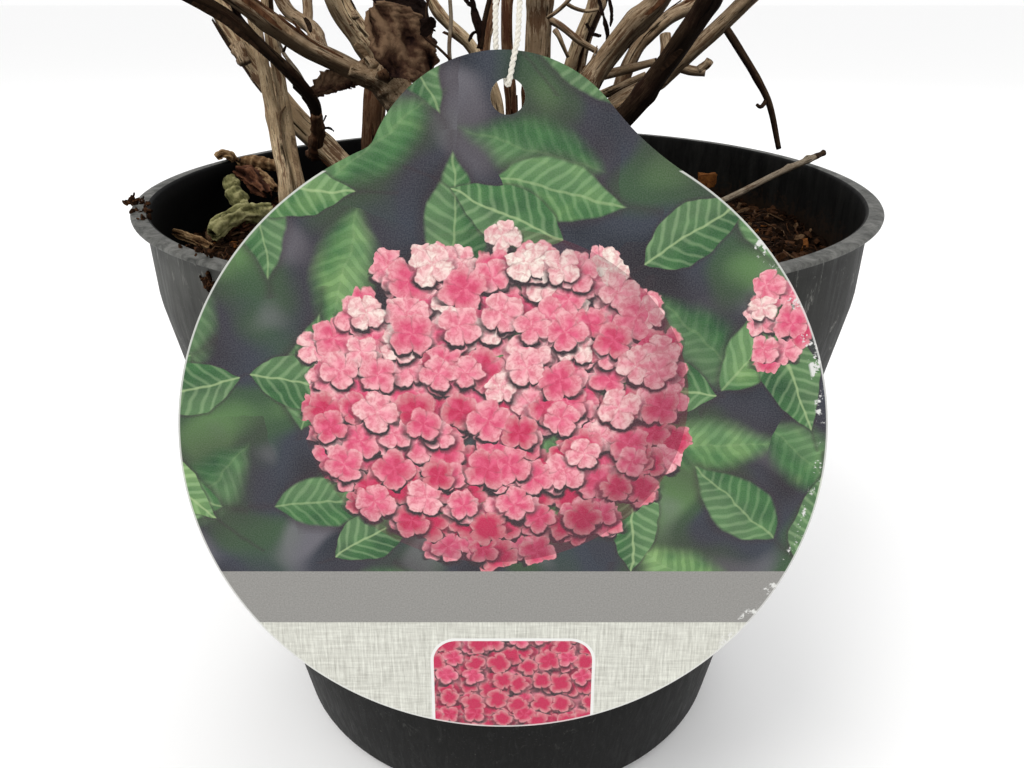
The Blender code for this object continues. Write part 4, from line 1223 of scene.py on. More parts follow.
# Each wisp: its radii at both ends in millimetres, its finish, and its stations. The finish is 0 for dark,
# 1 for grey, 2 for tan and 3 for red.
WISPS = (
    (
        0.5, 0.75, 1, (-67.9, -11, 234.6), (-66.3, -12, 230.4), (-64.3, -13, 227.7), (-62.3, -14, 225.3),
        (-60.5, -15.5, 222.6),
    ),
    (0.55, 0.15, 0, (-66.3, -12, 230.4), (-65.0, -13, 232.1), (-63.7, -14, 233.6)),
    (0.3, 0.35, 0, (-21.6, -30, 237.7), (-22.1, -29, 240.9), (-20.9, -27, 246.5), (-19, -24, 254)),
    (0.35, 0.4, 0, (-23.6, -29, 236.0), (-21.1, -31, 234.0), (-18.9, -32, 232.6), (-14.5, -33, 228.6)),
    (
        0.62, 0.5, 1, (-14.6, -30, 222), (-15.8, -30, 229.3), (-15.9, -30, 233.2), (-15.3, -29, 239.4),
        (-15.5, -28, 247), (-14, -25, 262),
    ),
    (
        0.9, 0.6, 0, (-8.3, -6, 231), (-7.9, -6, 233.4), (-6.6, -6, 239.5), (-4.8, -6, 246.4),
        (-3, -4, 258),
    ),
    (
        0.6, 0.7, 2, (12.4, -1, 239.6), (13.7, -4, 240.5), (15.7, -4, 241.9), (17.4, -5, 243.5),
        (20.0, -5, 246.4), (24, -4, 252),
    ),
    (0.6, 0.5, 2, (17.4, -5, 243.5), (19.9, -4, 242.2), (23.6, -3, 241.3), (27.5, -3, 241.8)),
    (0.9, 0.5, 2, (14.6, 1, 236.0), (15.9, 0, 234.2), (16.8, 0, 232.3), (18.9, 1, 228.2)),
    (0.75, 0.5, 0, (78.9, -10, 216.4), (77.6, -11, 215.0), (76.4, -12, 215.0), (75.6, -12.4, 215.6)),
    (2.9, 2.35, 2, (-35.0, -13, 226.5), (-35.3, -19.0, 225.3), (-35.5, -21.4, 224.8)),
    (1.9, 1.5, 3, (-35.5, -21.2, 224.8), (-35.5, -21.9, 224.8)),
    (5.6, 2.9, 2, (-30.5, -11.2, 213), (-33.5, -12.5, 218.5), (-37, -13.6, 223.5), (-41.5, -14.5, 229.5)),
    (5.2, 2.2, 2, (-32, -12.2, 216), (-37, -15, 222.5), (-46, -16.5, 226.4)),
    (1.1, 0.8, 2, (-43.6, -16, 240.0), (-43.7, -17.6, 240.1)),
    (0.9, 0.6, 2, (-44.6, -16, 238.1), (-44.7, -17.5, 238.2)),
    (3.1, 1.5, 3, (-62.5, 2, 198.5), (-61.3, -1.5, 203.0), (-59.6, -5, 207.6), (-59.0, -9, 212.6)),
    (2.4, 1.8, 2, (-85.0, 6, 231.0), (-83.4, 3.2, 228.6), (-82.2, 2.6, 226.0)),
    (1.5, 1.1, 2, (58.6, -5.6, 225.0), (60.4, -6.4, 226.4), (61.3, -7, 227.8)),
)
KNOBBLY_FROM = 0.85
KNOBS = 0.45


def grow_wisp(stations, start, end):
    """A dead shoot, stalk or stub. The thick ones are rough."""
    points = line_through(stations, 0.9)
    count = len(points) - 1
    shift = Vector(stations[0])

    def radius_at(ring, run, angle):
        radius = start + (end - start) * ring / count
        if radius > KNOBBLY_FROM:
            place = Vector((math.cos(angle) * 1.3, math.sin(angle) * 1.3, run * 0.6)) + shift
            radius *= 1 + KNOBS * noise.noise(place)
        return radius

    return grow_tube(points, radius_at, 12 if start > KNOBBLY_FROM else 7, stations[0][0])


wisps = new_body()
for start, end, kind, *stations in WISPS:
    wisp = grow_wisp(stations, start, end)
    paint(wisp, kind)
    pour(wisps, wisp)
write_piece("stubs_and_wisps", wisps, [BARK_DARK, STICK_GREY, BARK_TAN, BARK_RED], "bark_dark")

# %% Dark shreds of leaf and bark
# Each shred: its width in millimetres, how much it is crumpled, and its stations.
SHREDS = (
    (5.2, 0.5, (-22.9, -30.5, 235.4), (-21.5, -30.5, 238.3), (-19.3, -30, 238.6)),
    (7.5, 1.6, (-43, -6, 250), (-38, -5, 245.6), (-33, -5, 243.4), (-27.5, -6, 243.0), (-24, -8, 238)),
    (7.0, 1.5, (-34, -3, 254), (-32, -3, 247), (-29, -4, 243)),
    (4.0, 0.9, (-45, -3, 231), (-43, -3, 227.5), (-42.5, -4, 224)),
    (3.0, 0.8, (-10.5, -7, 245), (-9.3, -7, 240), (-8.2, -7, 235.5), (-8.0, -6, 232)),
    (1.6, 0.6, (-13.2, -6, 246), (-11.4, -7, 243.5), (-9.6, -7, 242)),
    (1.2, 0.4, (-11.5, -7, 233), (-10.2, -7, 235.3), (-8.6, -7, 236.0)),
    (1.7, 0.8, (27.0, -2, 246), (28.4, -3, 241), (30.2, -3, 236.5), (30.4, -3, 232.5)),
    (1.3, 0.6, (30.5, -2, 245), (31.5, -3, 240), (31.2, -3, 237)),
    (1.4, 0.5, (24.0, -1, 238), (26.2, -2, 235), (28.6, -2, 234.4)),
    (2.6, 0.7, (-75.5, -25, 243.0), (-73.0, -26, 238.0), (-70.5, -26, 233.0)),
    (0.8, 0.3, (-60.0, -3.6, 209.0), (-57.6, -5, 209.8), (-56.6, -5, 211.6)),
    (0.7, 0.3, (-60.0, -3.6, 207.0), (-56.6, -4, 207.6), (-54.6, -5, 206.8)),
)


def make_shred(width, crumple, *stations):
    """A torn dark scrap along a line, crumpled and with ragged edges."""
    points = line_through(stations, 0.5)
    frames = transported_frames(points)
    shift = Vector(stations[-1])

    def place(along, across):
        centre, side, up = frame_along(frames, along)
        ragged = 1 + 0.6 * noise.noise(Vector((along * 7, across * 3, 2)) + shift)
        fold = crumple * noise.fractal(Vector((along * 3, across * 1.6, 6)) + shift, 0.8, 2.0, 3)
        narrow = max(0.15, math.sin(math.pi * (0.06 + 0.88 * along)) ** 0.6)
        return centre + side * (across * width / 2 * narrow * ragged) + up * fold

    return make_sheet(max(8, len(points) // 2), 6, place, 0.25)


shreds = new_body()
for shred in SHREDS:
    pour(shreds, make_shred(*shred))
write_piece("dark_shreds", shreds, [LEAF_BLACK], "leaf_brown", smooth=False)

# %% Crumbs on the rim and a chip of bark by the wall
# Each heap of crumbs: its middle in millimetres, its spread, and how many crumbs lie in it. A heap that is
# well below the rim sticks to the wall's outside.
CRUMB_PLACES = (
    ((-110.6, -31.5, 190.3), 0.9, 34), ((-107.6, -32.5, 190.0), 1.0, 16), ((-103.6, -41.2, 189.6), 1.1, 14),
    ((-99.4, -50.4, 189.6), 0.9, 7), ((-70.1, -88.0, 190.2), 1.1, 10), ((-71.2, -85.4, 183.0), 1.4, 34),
    ((-73.5, -83.4, 190.1), 0.7, 5), ((-78, -79, 190.1), 0.8, 3),
)
RIM_DEPTH = 5
CHIP_PLACE = Vector((79.6, 57.5, 179.2))
CHIP_SIZE = Vector((6.6, 3.4, 5.2))
CHIP_KIND = 2
crumb_chance = random.Random(44)
crumbs = new_body()
for (x, y, z), spread, count in CRUMB_PLACES:
    for _ in range(count):
        strewn_x, strewn_y = (value + crumb_chance.gauss(0, spread) for value in (x, y))
        place = Vector((strewn_x, strewn_y, z + abs(crumb_chance.gauss(0, 0.7))))
        if z < POT_HEIGHT - RIM_DEPTH:
            place.z = z + crumb_chance.gauss(0, spread)
            place.x, place.y = (wall_radius(place.z) + 0.2) * place.xy.normalized()
        size = crumb_chance.uniform(0.3, 0.85)
        crumb = new_body()
        turn = Euler([crumb_chance.uniform(0, math.tau) for _ in range(3)]).to_matrix().to_4x4()
        flattened = Matrix.Diagonal((size * 1.5 * MM, size * MM, size * 0.7 * MM, 1))
        shape = Matrix.Translation(place * MM) @ turn @ flattened
        bmesh.ops.create_icosphere(crumb, subdivisions=1, radius=1.0, matrix=shape)
        for face in crumb.faces:
            face.material_index = crumb_chance.choice((0, 0, 1))
        pour(crumbs, crumb)
chip = new_body()
bmesh.ops.create_cube(chip, size=1.0)
bmesh.ops.subdivide_edges(chip, edges=chip.edges, cuts=4, use_grid_fill=True)
for corner in chip.verts:
    corner.co *= 1 + 0.22 * noise.noise(corner.co * 2.7)
    corner.co = (CHIP_PLACE + corner.co * CHIP_SIZE) * MM
paint(chip, CHIP_KIND)
pour(crumbs, chip)
write_piece("rim_crumbs", crumbs, FLAKE_FINISHES, "soil", smooth=False)

# %% [markdown]
# ## The string
# The card hangs on a closed loop of cream cotton, about 25 centimetres long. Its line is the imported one:
# through the card's hole, up both faces of the lobe and over the middle stem.

# %% String line
# Sizes are in millimetres. The card leans back on the flange, which it touches just in front of this height.
FLANGE_TOP = POT_HEIGHT - 0.5
CARD_RADIUS = 69.35
CARD_THICKNESS = 0.6
CARD_LEAN = math.radians(7.68)
CARD_BELOW_RIM = 34.9
CARD_OFF_CENTRE = -0.9
LOBE_RADIUS = 27
LOBE_RISE = 54.8
HOLE_RADIUS = 3.3
HOLE_PLACE = (1.0, 73.6)
CLEAR = 0.3
STRING_RADIUS = 0.6


def card_place(across, up, forward):
    """The world place of a point on the card in millimetres from the middle of its disc."""
    lean, rise = math.sin(CARD_LEAN), math.cos(CARD_LEAN)
    contact = Vector((CARD_OFF_CENTRE, -FLANGE_RADIUS, FLANGE_TOP))
    up_axis = Vector((0, lean, rise))
    out_axis = Vector((0, -rise, lean))
    middle = contact - up_axis * CARD_BELOW_RIM + out_axis * (CLEAR + CARD_THICKNESS / 2)
    return (middle + Vector((across, 0, 0)) + up_axis * up + out_axis * forward) * MM


STRING_LOOP = (
    (3.4, -98, 262), (6.6, -80, 298), (9.6, -66, 327), (9.8, -61.5, 334),
    (5.2, -58.6, 338), (0.8, -61.5, 334), (0.6, -66, 327), (-0.8, -80, 298), (-1.5, -98, 262),
)


def string_line(step):
    """The closed line of the string, as points about a step apart."""
    across, hole_up = HOLE_PLACE
    turn_height = hole_up + HOLE_RADIUS
    stand_off = CARD_THICKNESS / 2 + CLEAR + STRING_RADIUS
    stations = [
        card_place(across, turn_height - stand_off, 0),
        card_place(across + 0.2, turn_height - 0.7 * stand_off, 0.75 * stand_off),
        card_place(across + 0.4, turn_height, stand_off),
        card_place(across + 1.4, LOBE_RISE + LOBE_RADIUS, stand_off),
        card_place(across + 1.8, LOBE_RISE + LOBE_RADIUS + 1.6, 0.4 * stand_off),
    ]
    stations += [Vector(place) * MM for place in STRING_LOOP]
    stations += [
        card_place(across - 2.2, LOBE_RISE + LOBE_RADIUS, -1.2 * stand_off),
        card_place(across - 0.4, turn_height, -stand_off),
        card_place(across - 0.2, turn_height - 0.7 * stand_off, -0.75 * stand_off),
    ]
    return smooth_line(stations, step * MM, cyclic=True)


packed_string = string_line(5)
print("string:", round(line_length(packed_string + packed_string[:1])), "mm")

# %% [markdown]
# ## The card
# The card is die-cut from printed plastic 0.6 millimetres thick: a disc with a lobe on top for the string.
# Its outline is made of arcs, filled as one flat face with a hole and drawn up to its thickness. The left
# shoulder, where disc and lobe meet, is tight, and the right one is fuller. The front is then cut into a
# middle part, a side part and a foot, so that each gets its own finish.

# %% Cut out the card
FILLET_LEFT = 4
FILLET_RIGHT = 60
ARC_STEP = 1.6
HOLE_STEPS = 40
HEAD_PART, SIDE_PART, FOOT_PART, BACK_PART, EDGE_PART = range(5)

# Where the parts of the print lie, in millimetres across and up from the disc's middle. A region is an
# ellipse: its middle, half its width and half its height. The box gives the head part's left, right and top.
HEAD_MIDDLE = (-2.0, 12.0)
HEAD_REGIONS = ((HEAD_MIDDLE, 37.0, 33.0), (HEAD_MIDDLE, 38.5, 34.5), (HEAD_MIDDLE, 40.0, 36.0))
HEAD_BOX = (-48.5, 44.5, 54.5)
SMALL_HEAD = ((56.0, 30.0), 8.0, 9.0)
ANYWHERE = ((0.0, 0.0), 99.0, 99.0)
BAND_TOP = -27.3
BAND_BOTTOM = -40.5


def arc(middle, radius, start, end):
    """Corners along an arc in millimetres, by angles from upright, clockwise."""
    pieces = max(3, round(abs(end - start) * radius / ARC_STEP))
    turns = [start + (end - start) * piece / pieces for piece in range(pieces + 1)]
    return [(middle[0] + radius * math.sin(turn), middle[1] + radius * math.cos(turn)) for turn in turns]


def shoulder(fillet):
    """The middle of a fillet that touches the disc and the lobe from outside, and its two angles."""
    up = ((CARD_RADIUS + fillet) ** 2 - (LOBE_RADIUS + fillet) ** 2 + LOBE_RISE**2) / (2 * LOBE_RISE)
    across = math.sqrt((CARD_RADIUS + fillet) ** 2 - up**2)
    return (across, up), math.atan2(across, up), math.atan2(across, up - LOBE_RISE)


def card_outline():
    """The corners of the card's outline, clockwise from the right shoulder."""
    right, on_disc, on_lobe = shoulder(FILLET_RIGHT)
    left, left_on_disc, left_on_lobe = shoulder(FILLET_LEFT)
    ring = arc(right, FILLET_RIGHT, on_lobe + math.pi, on_disc + math.pi)
    ring += arc((0, 0), CARD_RADIUS, on_disc, math.tau - left_on_disc)[1:-1]
    ring += arc((-left[0], left[1]), FILLET_LEFT, math.pi - left_on_disc, math.pi - left_on_lobe)
    ring += arc((0, LOBE_RISE), LOBE_RADIUS, -left_on_lobe, on_lobe)[1:-1]
    return ring


card = bmesh.new()
card_edges = []
hole = []
for step in range(HOLE_STEPS):
    turn = math.tau * step / HOLE_STEPS
    hole.append((HOLE_PLACE[0] + HOLE_RADIUS * math.sin(turn), HOLE_PLACE[1] + HOLE_RADIUS * math.cos(turn)))
for ring in (card_outline(), hole):
    corners = [card.verts.new((across, up, 0)) for across, up in ring]
    card_edges += [card.edges.new(pair) for pair in zip(corners, corners[1:] + corners[:1])]
bmesh.ops.triangle_fill(card, use_beauty=True, use_dissolve=True, edges=card_edges)
drawn = bmesh.ops.extrude_face_region(card, geom=list(card.faces))["geom"]
for corner in card.verts:
    corner.co.z = -CARD_THICKNESS / 2
for item in drawn:
    if isinstance(item, bmesh.types.BMVert):
        item.co.z = CARD_THICKNESS / 2
face_outward(card)
box_left, box_right, box_top = HEAD_BOX
for place, across_cut in (
    ((0, box_top, 0), (0, 1, 0)), ((0, BAND_TOP, 0), (0, 1, 0)),
    ((box_left, 0, 0), (1, 0, 0)), ((box_right, 0, 0), (1, 0, 0)),
):
    cut = list(card.faces) + list(card.edges) + list(card.verts)
    bmesh.ops.bisect_plane(card, geom=cut, plane_co=place, plane_no=across_cut)
for face in card.faces:
    middle = face.calc_center_median()
    in_box = box_left < middle.x < box_right and middle.y < box_top
    front = FOOT_PART if middle.y < BAND_TOP else HEAD_PART if in_box else SIDE_PART
    behind = BACK_PART if face.normal.z < -0.5 else EDGE_PART
    face.material_index = front if face.normal.z > 0.5 else behind
for corner in card.verts:
    corner.co = card_place(*corner.co)
face_outward(card)
print("card faces:", len(card.faces))

# %% [markdown]
# What is printed on the card is a plain garden picture: a round head of four-petalled florets in pinks and
# white, leaves round it, and a soft dark garden behind. All of it is drawn by the shader. A Voronoi pattern
# deals out the places. Round each place, the angle gives four petals, and random draws give the turn, the
# tint and the size. Leaves are dealt out in the same way, in three layers from blurred to sharp, and two to
# five layers of florets lie over them. A tree with all the layers at once is too much for one shader, which
# is why the front is split into parts. All parts are drawn by the same rules, so they join up.


# %% Helpers for the print
def place_on_card(tree):
    """The point being shaded as across and up on the card, in millimetres."""
    middle = card_place(0, 0, 0) / MM
    up = middle.y * math.sin(CARD_LEAN) + middle.z * math.cos(CARD_LEAN)
    place = place_in_object(tree, turn=(CARD_LEAN, 0, 0), shift=(-middle.x, 0, -up))
    split = parts_of(tree, place)
    join = tree.nodes.new("ShaderNodeCombineXYZ")
    tree.links.new(split["X"], join.inputs["X"])
    tree.links.new(split["Z"], join.inputs["Y"])
    return join.outputs["Vector"], split["X"], split["Z"]


def vector_of(tree, operation, first, second=None):
    """One step of vector arithmetic. A length comes out as a number."""
    node = tree.nodes.new("ShaderNodeVectorMath")
    node.operation = operation
    for socket, value in zip(node.inputs, (first, second)):
        if value is not None:
            feed(tree, socket, value)
    return node.outputs["Value" if operation == "LENGTH" else "Vector"]


def strewn(tree, place, gap, spread, shift):
    """Places strewn about a gap apart: the way from the nearest, its own place, and three random draws."""
    moved = vector_of(tree, "ADD", place, (*shift, 0))
    cells = tree.nodes.new("ShaderNodeTexVoronoi")
    cells.voronoi_dimensions = "2D"
    cells.inputs["Scale"].default_value = 1 / gap
    cells.inputs["Randomness"].default_value = spread
    tree.links.new(moved, cells.inputs["Vector"])
    away = vector_of(tree, "SUBTRACT", moved, cells.outputs["Position"])
    own = vector_of(tree, "SUBTRACT", cells.outputs["Position"], (*shift, 0))
    draws = tree.nodes.new("ShaderNodeSeparateColor")
    tree.links.new(cells.outputs["Color"], draws.inputs["Color"])
    return away, own, draws.outputs["Red"], draws.outputs["Green"], draws.outputs["Blue"]


def steps(tree, first, *changes):
    """A chain of arithmetic: each change is an operation and its second value."""
    for operation, *values in changes:
        first = sum_of(tree, operation, first, *values)
    return first


def in_ellipse(tree, own, middle, half_width, half_height):
    """How far inside an ellipse a place lies: above 0 inside."""
    away = vector_of(tree, "SUBTRACT", own, (*middle, 0))
    away = vector_of(tree, "MULTIPLY", away, (1 / half_width, 1 / half_height, 0))
    return sum_of(tree, "SUBTRACT", 1.0, vector_of(tree, "LENGTH", away))


print("helpers for the print are ready")


# %% Florets and leaves of the print
PETAL_DEEP = (0.44, 0.022, 0.075)
PETAL_MID = (0.62, 0.095, 0.185)
PETAL_PALE = (0.74, 0.32, 0.37)
PETAL_WHITE = (0.76, 0.68, 0.61)


def warped(tree, place, grain, reach):
    """The place, pushed about by a cloud, so that drawn outlines come out uneven."""
    push = cloud(tree, place, grain, 2.0, 0.5, output="Color")
    push = vector_of(tree, "SUBTRACT", push, (0.5, 0.5, 0.5))
    return vector_of(tree, "ADD", place, vector_of(tree, "MULTIPLY", push, (reach, reach, 0)))


def printed_florets(tree, uneven, veins, gap, size, shift, region):
    """One layer of florets: where it covers, its colour, and the shadow that it throws on the layer below."""
    away, own, turned, tinted, sized = strewn(tree, uneven, gap, 0.62, shift)
    split = parts_of(tree, away)
    angle = sum_of(tree, "ARCTAN2", split["Y"], split["X"])
    angle = times_plus(tree, turned, math.tau, angle)
    lobes = steps(tree, angle, ("MULTIPLY", 2.0), ("COSINE",), ("ABSOLUTE",), ("POWER", 0.45))
    petal = times_plus(tree, lobes, 0.36 * size, 0.64 * size)
    petal = times(tree, petal, times_plus(tree, sized, 0.3, 0.75))
    out = vector_of(tree, "LENGTH", away)
    left = sum_of(tree, "SUBTRACT", petal, out)
    wanted = sum_of(tree, "GREATER_THAN", in_ellipse(tree, own, *region), 0.0)
    cover = times(tree, ramp(tree, left, ((0.0, 0.0), (0.3, 1.0))), wanted)
    below = times_plus(tree, split["Y"], -0.18, 0.5)
    shadow = times(tree, ramp(tree, sum_of(tree, "ADD", left, 1.3), ((0.0, 0.0), (1.0, 0.9))), wanted)
    shadow = times(tree, shadow, below)
    tint = times_plus(tree, tinted, 0.55, 0.12)
    tint = times_plus(tree, parts_of(tree, own)["Y"], 0.006, tint)
    petal_light = steps(tree, angle, ("MULTIPLY", 4.0), ("SINE",), ("MULTIPLY_ADD", 0.07, tint))
    colour = ramp(
        tree, petal_light, ((0.16, PETAL_DEEP), (0.40, PETAL_MID), (0.66, PETAL_PALE), (0.95, PETAL_WHITE))
    )
    share = sum_of(tree, "DIVIDE", out, petal)
    colour = blend(tree, ramp(tree, share, ((0.5, 0.0), (1.0, 0.4))), colour, PETAL_WHITE)
    colour = blend(tree, ramp(tree, veins, ((0.42, 0.0), (0.62, 0.5))), colour, PETAL_DEEP)
    crease = times(tree, ramp(tree, lobes, ((0.0, 0.8), (0.6, 0.0))), share)
    return cover, blend(tree, crease, colour, (0.17, 0.02, 0.035)), shadow


def printed_leaves(tree, uneven, gap, size, shift, softness):
    """A layer of pointed leaves with a midrib and side veins: where it covers, its colour and its shadow."""
    away, _, turned, tinted, _ = strewn(tree, uneven, gap, 0.45, shift)
    rotate = tree.nodes.new("ShaderNodeVectorRotate")
    rotate.rotation_type = "Z_AXIS"
    tree.links.new(away, rotate.inputs["Vector"])
    tree.links.new(times(tree, turned, math.tau), rotate.inputs["Angle"])
    split = parts_of(tree, rotate.outputs["Vector"])
    along = sum_of(tree, "DIVIDE", split["X"], size)
    across = sum_of(tree, "ABSOLUTE", split["Y"])
    round_part = sum_of(tree, "SUBTRACT", 1.0, times(tree, along, along))
    round_part = sum_of(tree, "MAXIMUM", round_part, 0.0)
    lean = times_plus(tree, along, -0.35, 1.0)
    width = times(tree, times(tree, round_part, lean), 0.46 * size)
    left = sum_of(tree, "DIVIDE", sum_of(tree, "SUBTRACT", width, across), softness)
    cover = ramp(tree, left, ((0.0, 0.0), (1.0, 1.0)), True)
    shadow = ramp(tree, sum_of(tree, "ADD", times(tree, left, 0.3), 0.7), ((0.0, 0.0), (1.0, 0.6)), True)
    tone = times_plus(tree, cloud(tree, uneven, 6, 3, 0.5), 0.9, times_plus(tree, tinted, 0.5, -0.25))
    greens = ((0.1, (0.012, 0.050, 0.022)), (0.5, (0.052, 0.150, 0.050)), (0.9, (0.20, 0.34, 0.12)))
    green = ramp(tree, tone, greens)
    one_side = ramp(tree, times_plus(tree, split["Y"], 0.02, 0.5), ((0.45, 0.0), (0.55, 0.22)))
    green = blend(tree, one_side, green, (0.30, 0.44, 0.22))
    ribs = times_plus(tree, across, 0.75, times(tree, split["X"], -1.0))
    ribs = steps(tree, ribs, ("MULTIPLY", 2.4), ("SINE",))
    rib_strength = 0.3 / (1 + softness)
    midrib_strength = 0.55 / (0.6 + softness)
    green = blend(tree, ramp(tree, ribs, ((0.3, 0.0), (1.0, rib_strength))), green, (0.34, 0.46, 0.25))
    green = blend(tree, ramp(tree, ribs, ((-0.2, 0.25), (0.3, 0.0))), green, (0.02, 0.07, 0.02))
    midrib = ramp(tree, across, ((0.1, midrib_strength), (0.35, 0.0)))
    return cover, blend(tree, midrib, green, (0.34, 0.45, 0.22)), shadow


print("floret and leaf layers are ready")


# %% The printed face
SWATCH_MIDDLE = 2.2
SWATCH_HALF = 19.2
SWATCH_TOP = -44.8
SWATCH_CORNER = 6.0
SWATCH_LINE = 0.7


def lay_over(tree, below, cover, colour, shadow):
    """A printed layer over what is below it, with its soft shadow."""
    below = blend(tree, shadow, below, (0.03, 0.02, 0.025))
    return blend(tree, cover, below, colour)


GARDEN_TONES = (
    (0.32, (0.010, 0.012, 0.018)), (0.46, (0.030, 0.036, 0.050)),
    (0.56, (0.034, 0.070, 0.034)), (0.68, (0.085, 0.17, 0.06)),
)


def printed_garden(tree, place):
    """The soft dark garden behind, with greens and greys out of focus."""
    murk = ramp(tree, cloud(tree, place, 26, 1.5, 0.4), GARDEN_TONES, True)
    elsewhere = vector_of(tree, "ADD", place, (71, 13, 0))
    haze = ramp(tree, cloud(tree, elsewhere, 19, 1.0, 0.4), ((0.56, 0.0), (0.7, 0.6)), True)
    return blend(tree, haze, murk, (0.16, 0.15, 0.17))


def printed_swatch(tree, across, up):
    """How far inside the rounded square at the foot a point lies, in millimetres."""
    side = steps(tree, across, ("SUBTRACT", SWATCH_MIDDLE), ("ABSOLUTE",))
    side = steps(tree, side, ("SUBTRACT", SWATCH_HALF - SWATCH_CORNER), ("MAXIMUM", 0.0))
    top = steps(tree, up, ("SUBTRACT", SWATCH_TOP - SWATCH_CORNER), ("MAXIMUM", 0.0))
    corner = sum_of(tree, "SQRT", times_plus(tree, side, side, times(tree, top, top)))
    return sum_of(tree, "SUBTRACT", SWATCH_CORNER, corner)


# Each layer of leaves: the gap between them, their length, a shift of the pattern, and how blurred they are.
# Each layer of florets: the gap, their size, a shift of the pattern, and the region that they fill.
LEAF_LAYERS = ((34, 16.5, (3, 9), 5.0), (31, 13.5, (113, 77), 0.9), (33, 12.5, (41, 152), 0.35))
SIDE_LAYERS = ((6.4, 3.9, (19, 4), SMALL_HEAD), (6.9, 4.1, (66, 40), SMALL_HEAD))
HEAD_LAYERS = (
    (7.2, 4.4, (3, 61), HEAD_REGIONS[2]),
    (7.6, 4.5, (47, 17), HEAD_REGIONS[2]),
    (8.2, 4.7, (13, 98), HEAD_REGIONS[1]),
    (9.1, 4.9, (151, 35), HEAD_REGIONS[0]),
    (10.3, 5.0, (205, 77), HEAD_REGIONS[0]),
)
SWATCH_LAYERS = ((4.6, 2.8, (9, 9), ANYWHERE), (4.9, 2.9, (45, 25), ANYWHERE), (5.3, 3.1, (77, 5), ANYWHERE))


def picture_of(tree, place, leaf_layers, floret_layers):
    """The garden, with leaves and then florets laid over it."""
    picture = printed_garden(tree, place)
    uneven = warped(tree, place, 8, 3.0)
    for layer in leaf_layers:
        picture = lay_over(tree, picture, *printed_leaves(tree, uneven, *layer))
    uneven = warped(tree, place, 2.6, 2.4)
    veins = cloud(tree, place, 1.3, 4, 0.65, 0.6)
    for layer in floret_layers:
        picture = lay_over(tree, picture, *printed_florets(tree, uneven, veins, *layer))
    return picture


def foot_of(tree, place, across, up):
    """The plain grey band, and below it brushed silver with a rounded square of florets."""
    uneven = warped(tree, place, 2.6, 2.0)
    veins = cloud(tree, place, 1.3, 4, 0.65, 0.6)
    swatch = blend(tree, veins, PETAL_DEEP, PETAL_PALE)
    for layer in SWATCH_LAYERS:
        swatch = lay_over(tree, swatch, *printed_florets(tree, uneven, veins, *layer))
    weave = cloud(tree, place, 0.35, 2, 0.6)
    band = ramp(tree, weave, ((0.3, (0.195, 0.190, 0.180)), (0.7, (0.265, 0.260, 0.245))))
    upright = cloud(tree, vector_of(tree, "MULTIPLY", place, (1.0, 0.06, 1.0)), 0.5, 5, 0.75)
    level = cloud(tree, vector_of(tree, "MULTIPLY", place, (0.08, 1.0, 1.0)), 0.7, 5, 0.75)
    brushed = times_plus(tree, level, 0.6, upright)
    silver = ramp(tree, brushed, ((0.60, (0.36, 0.355, 0.315)), (0.98, (0.66, 0.665, 0.60))))
    lower = blend(tree, sum_of(tree, "LESS_THAN", up, BAND_BOTTOM), band, silver)
    inside = printed_swatch(tree, across, up)
    lower = blend(tree, sum_of(tree, "GREATER_THAN", inside, 0.0), lower, (0.68, 0.68, 0.66))
    return blend(tree, sum_of(tree, "GREATER_THAN", inside, SWATCH_LINE), lower, swatch)


def finish_print(tree, shader, place, across, up, face):
    """The print's fine dots, its pale cut edge, and the chips worn into it on the right."""
    dots = ramp(tree, cloud(tree, place, 0.28, 1, 0.5), ((0.35, 0.0), (0.65, 0.04)))
    face = blend(tree, dots, face, (0.65, 0.65, 0.65))
    to_edge = sum_of(tree, "SUBTRACT", vector_of(tree, "LENGTH", place), CARD_RADIUS)
    on_disc = ramp(tree, sum_of(tree, "ADD", to_edge, 1.0), ((0.55, 0.0), (0.72, 1.0)))
    on_disc = times(tree, on_disc, sum_of(tree, "LESS_THAN", up, 60.0))
    chips = ramp(tree, cloud(tree, place, 4.5, 5, 0.75), ((0.56, 0.0), (0.60, 1.0)))
    chips = times(tree, chips, ramp(tree, sum_of(tree, "ADD", to_edge, 3.0), ((0.25, 0.0), (0.75, 1.0))))
    chips = times(tree, chips, sum_of(tree, "GREATER_THAN", across, 50.0))
    worn = sum_of(tree, "MAXIMUM", times(tree, on_disc, 0.75), chips)
    tree.links.new(blend(tree, worn, face, (0.60, 0.60, 0.58)), shader.inputs["Base Color"])
    scratches = cloud(tree, place, 11, 5, 0.7, 1.0)
    tree.links.new(ramp(tree, scratches, ((0.4, 0.28), (0.7, 0.46))), shader.inputs["Roughness"])


def make_print(part):
    """The print of one part of the card's front."""
    material, tree, shader = start_finish(f"card_{part}", 0.34, 0.12)
    place, across, up = place_on_card(tree)
    if part == "foot":
        face = foot_of(tree, place, across, up)
    elif part == "side":
        face = picture_of(tree, place, LEAF_LAYERS, SIDE_LAYERS)
    else:
        face = picture_of(tree, place, LEAF_LAYERS, HEAD_LAYERS)
        rounding = in_ellipse(tree, place, (-10, 16), 46.0, 44.0)
        in_head = sum_of(tree, "GREATER_THAN", in_ellipse(tree, place, HEAD_MIDDLE, 41.0, 37.0), 0.0)
        dimmed = times(tree, ramp(tree, rounding, ((0.0, 0.5), (0.35, 0.0)), True), in_head)
        face = blend(tree, dimmed, face, (0.10, 0.012, 0.03))
    finish_print(tree, shader, place, across, up, face)
    return material


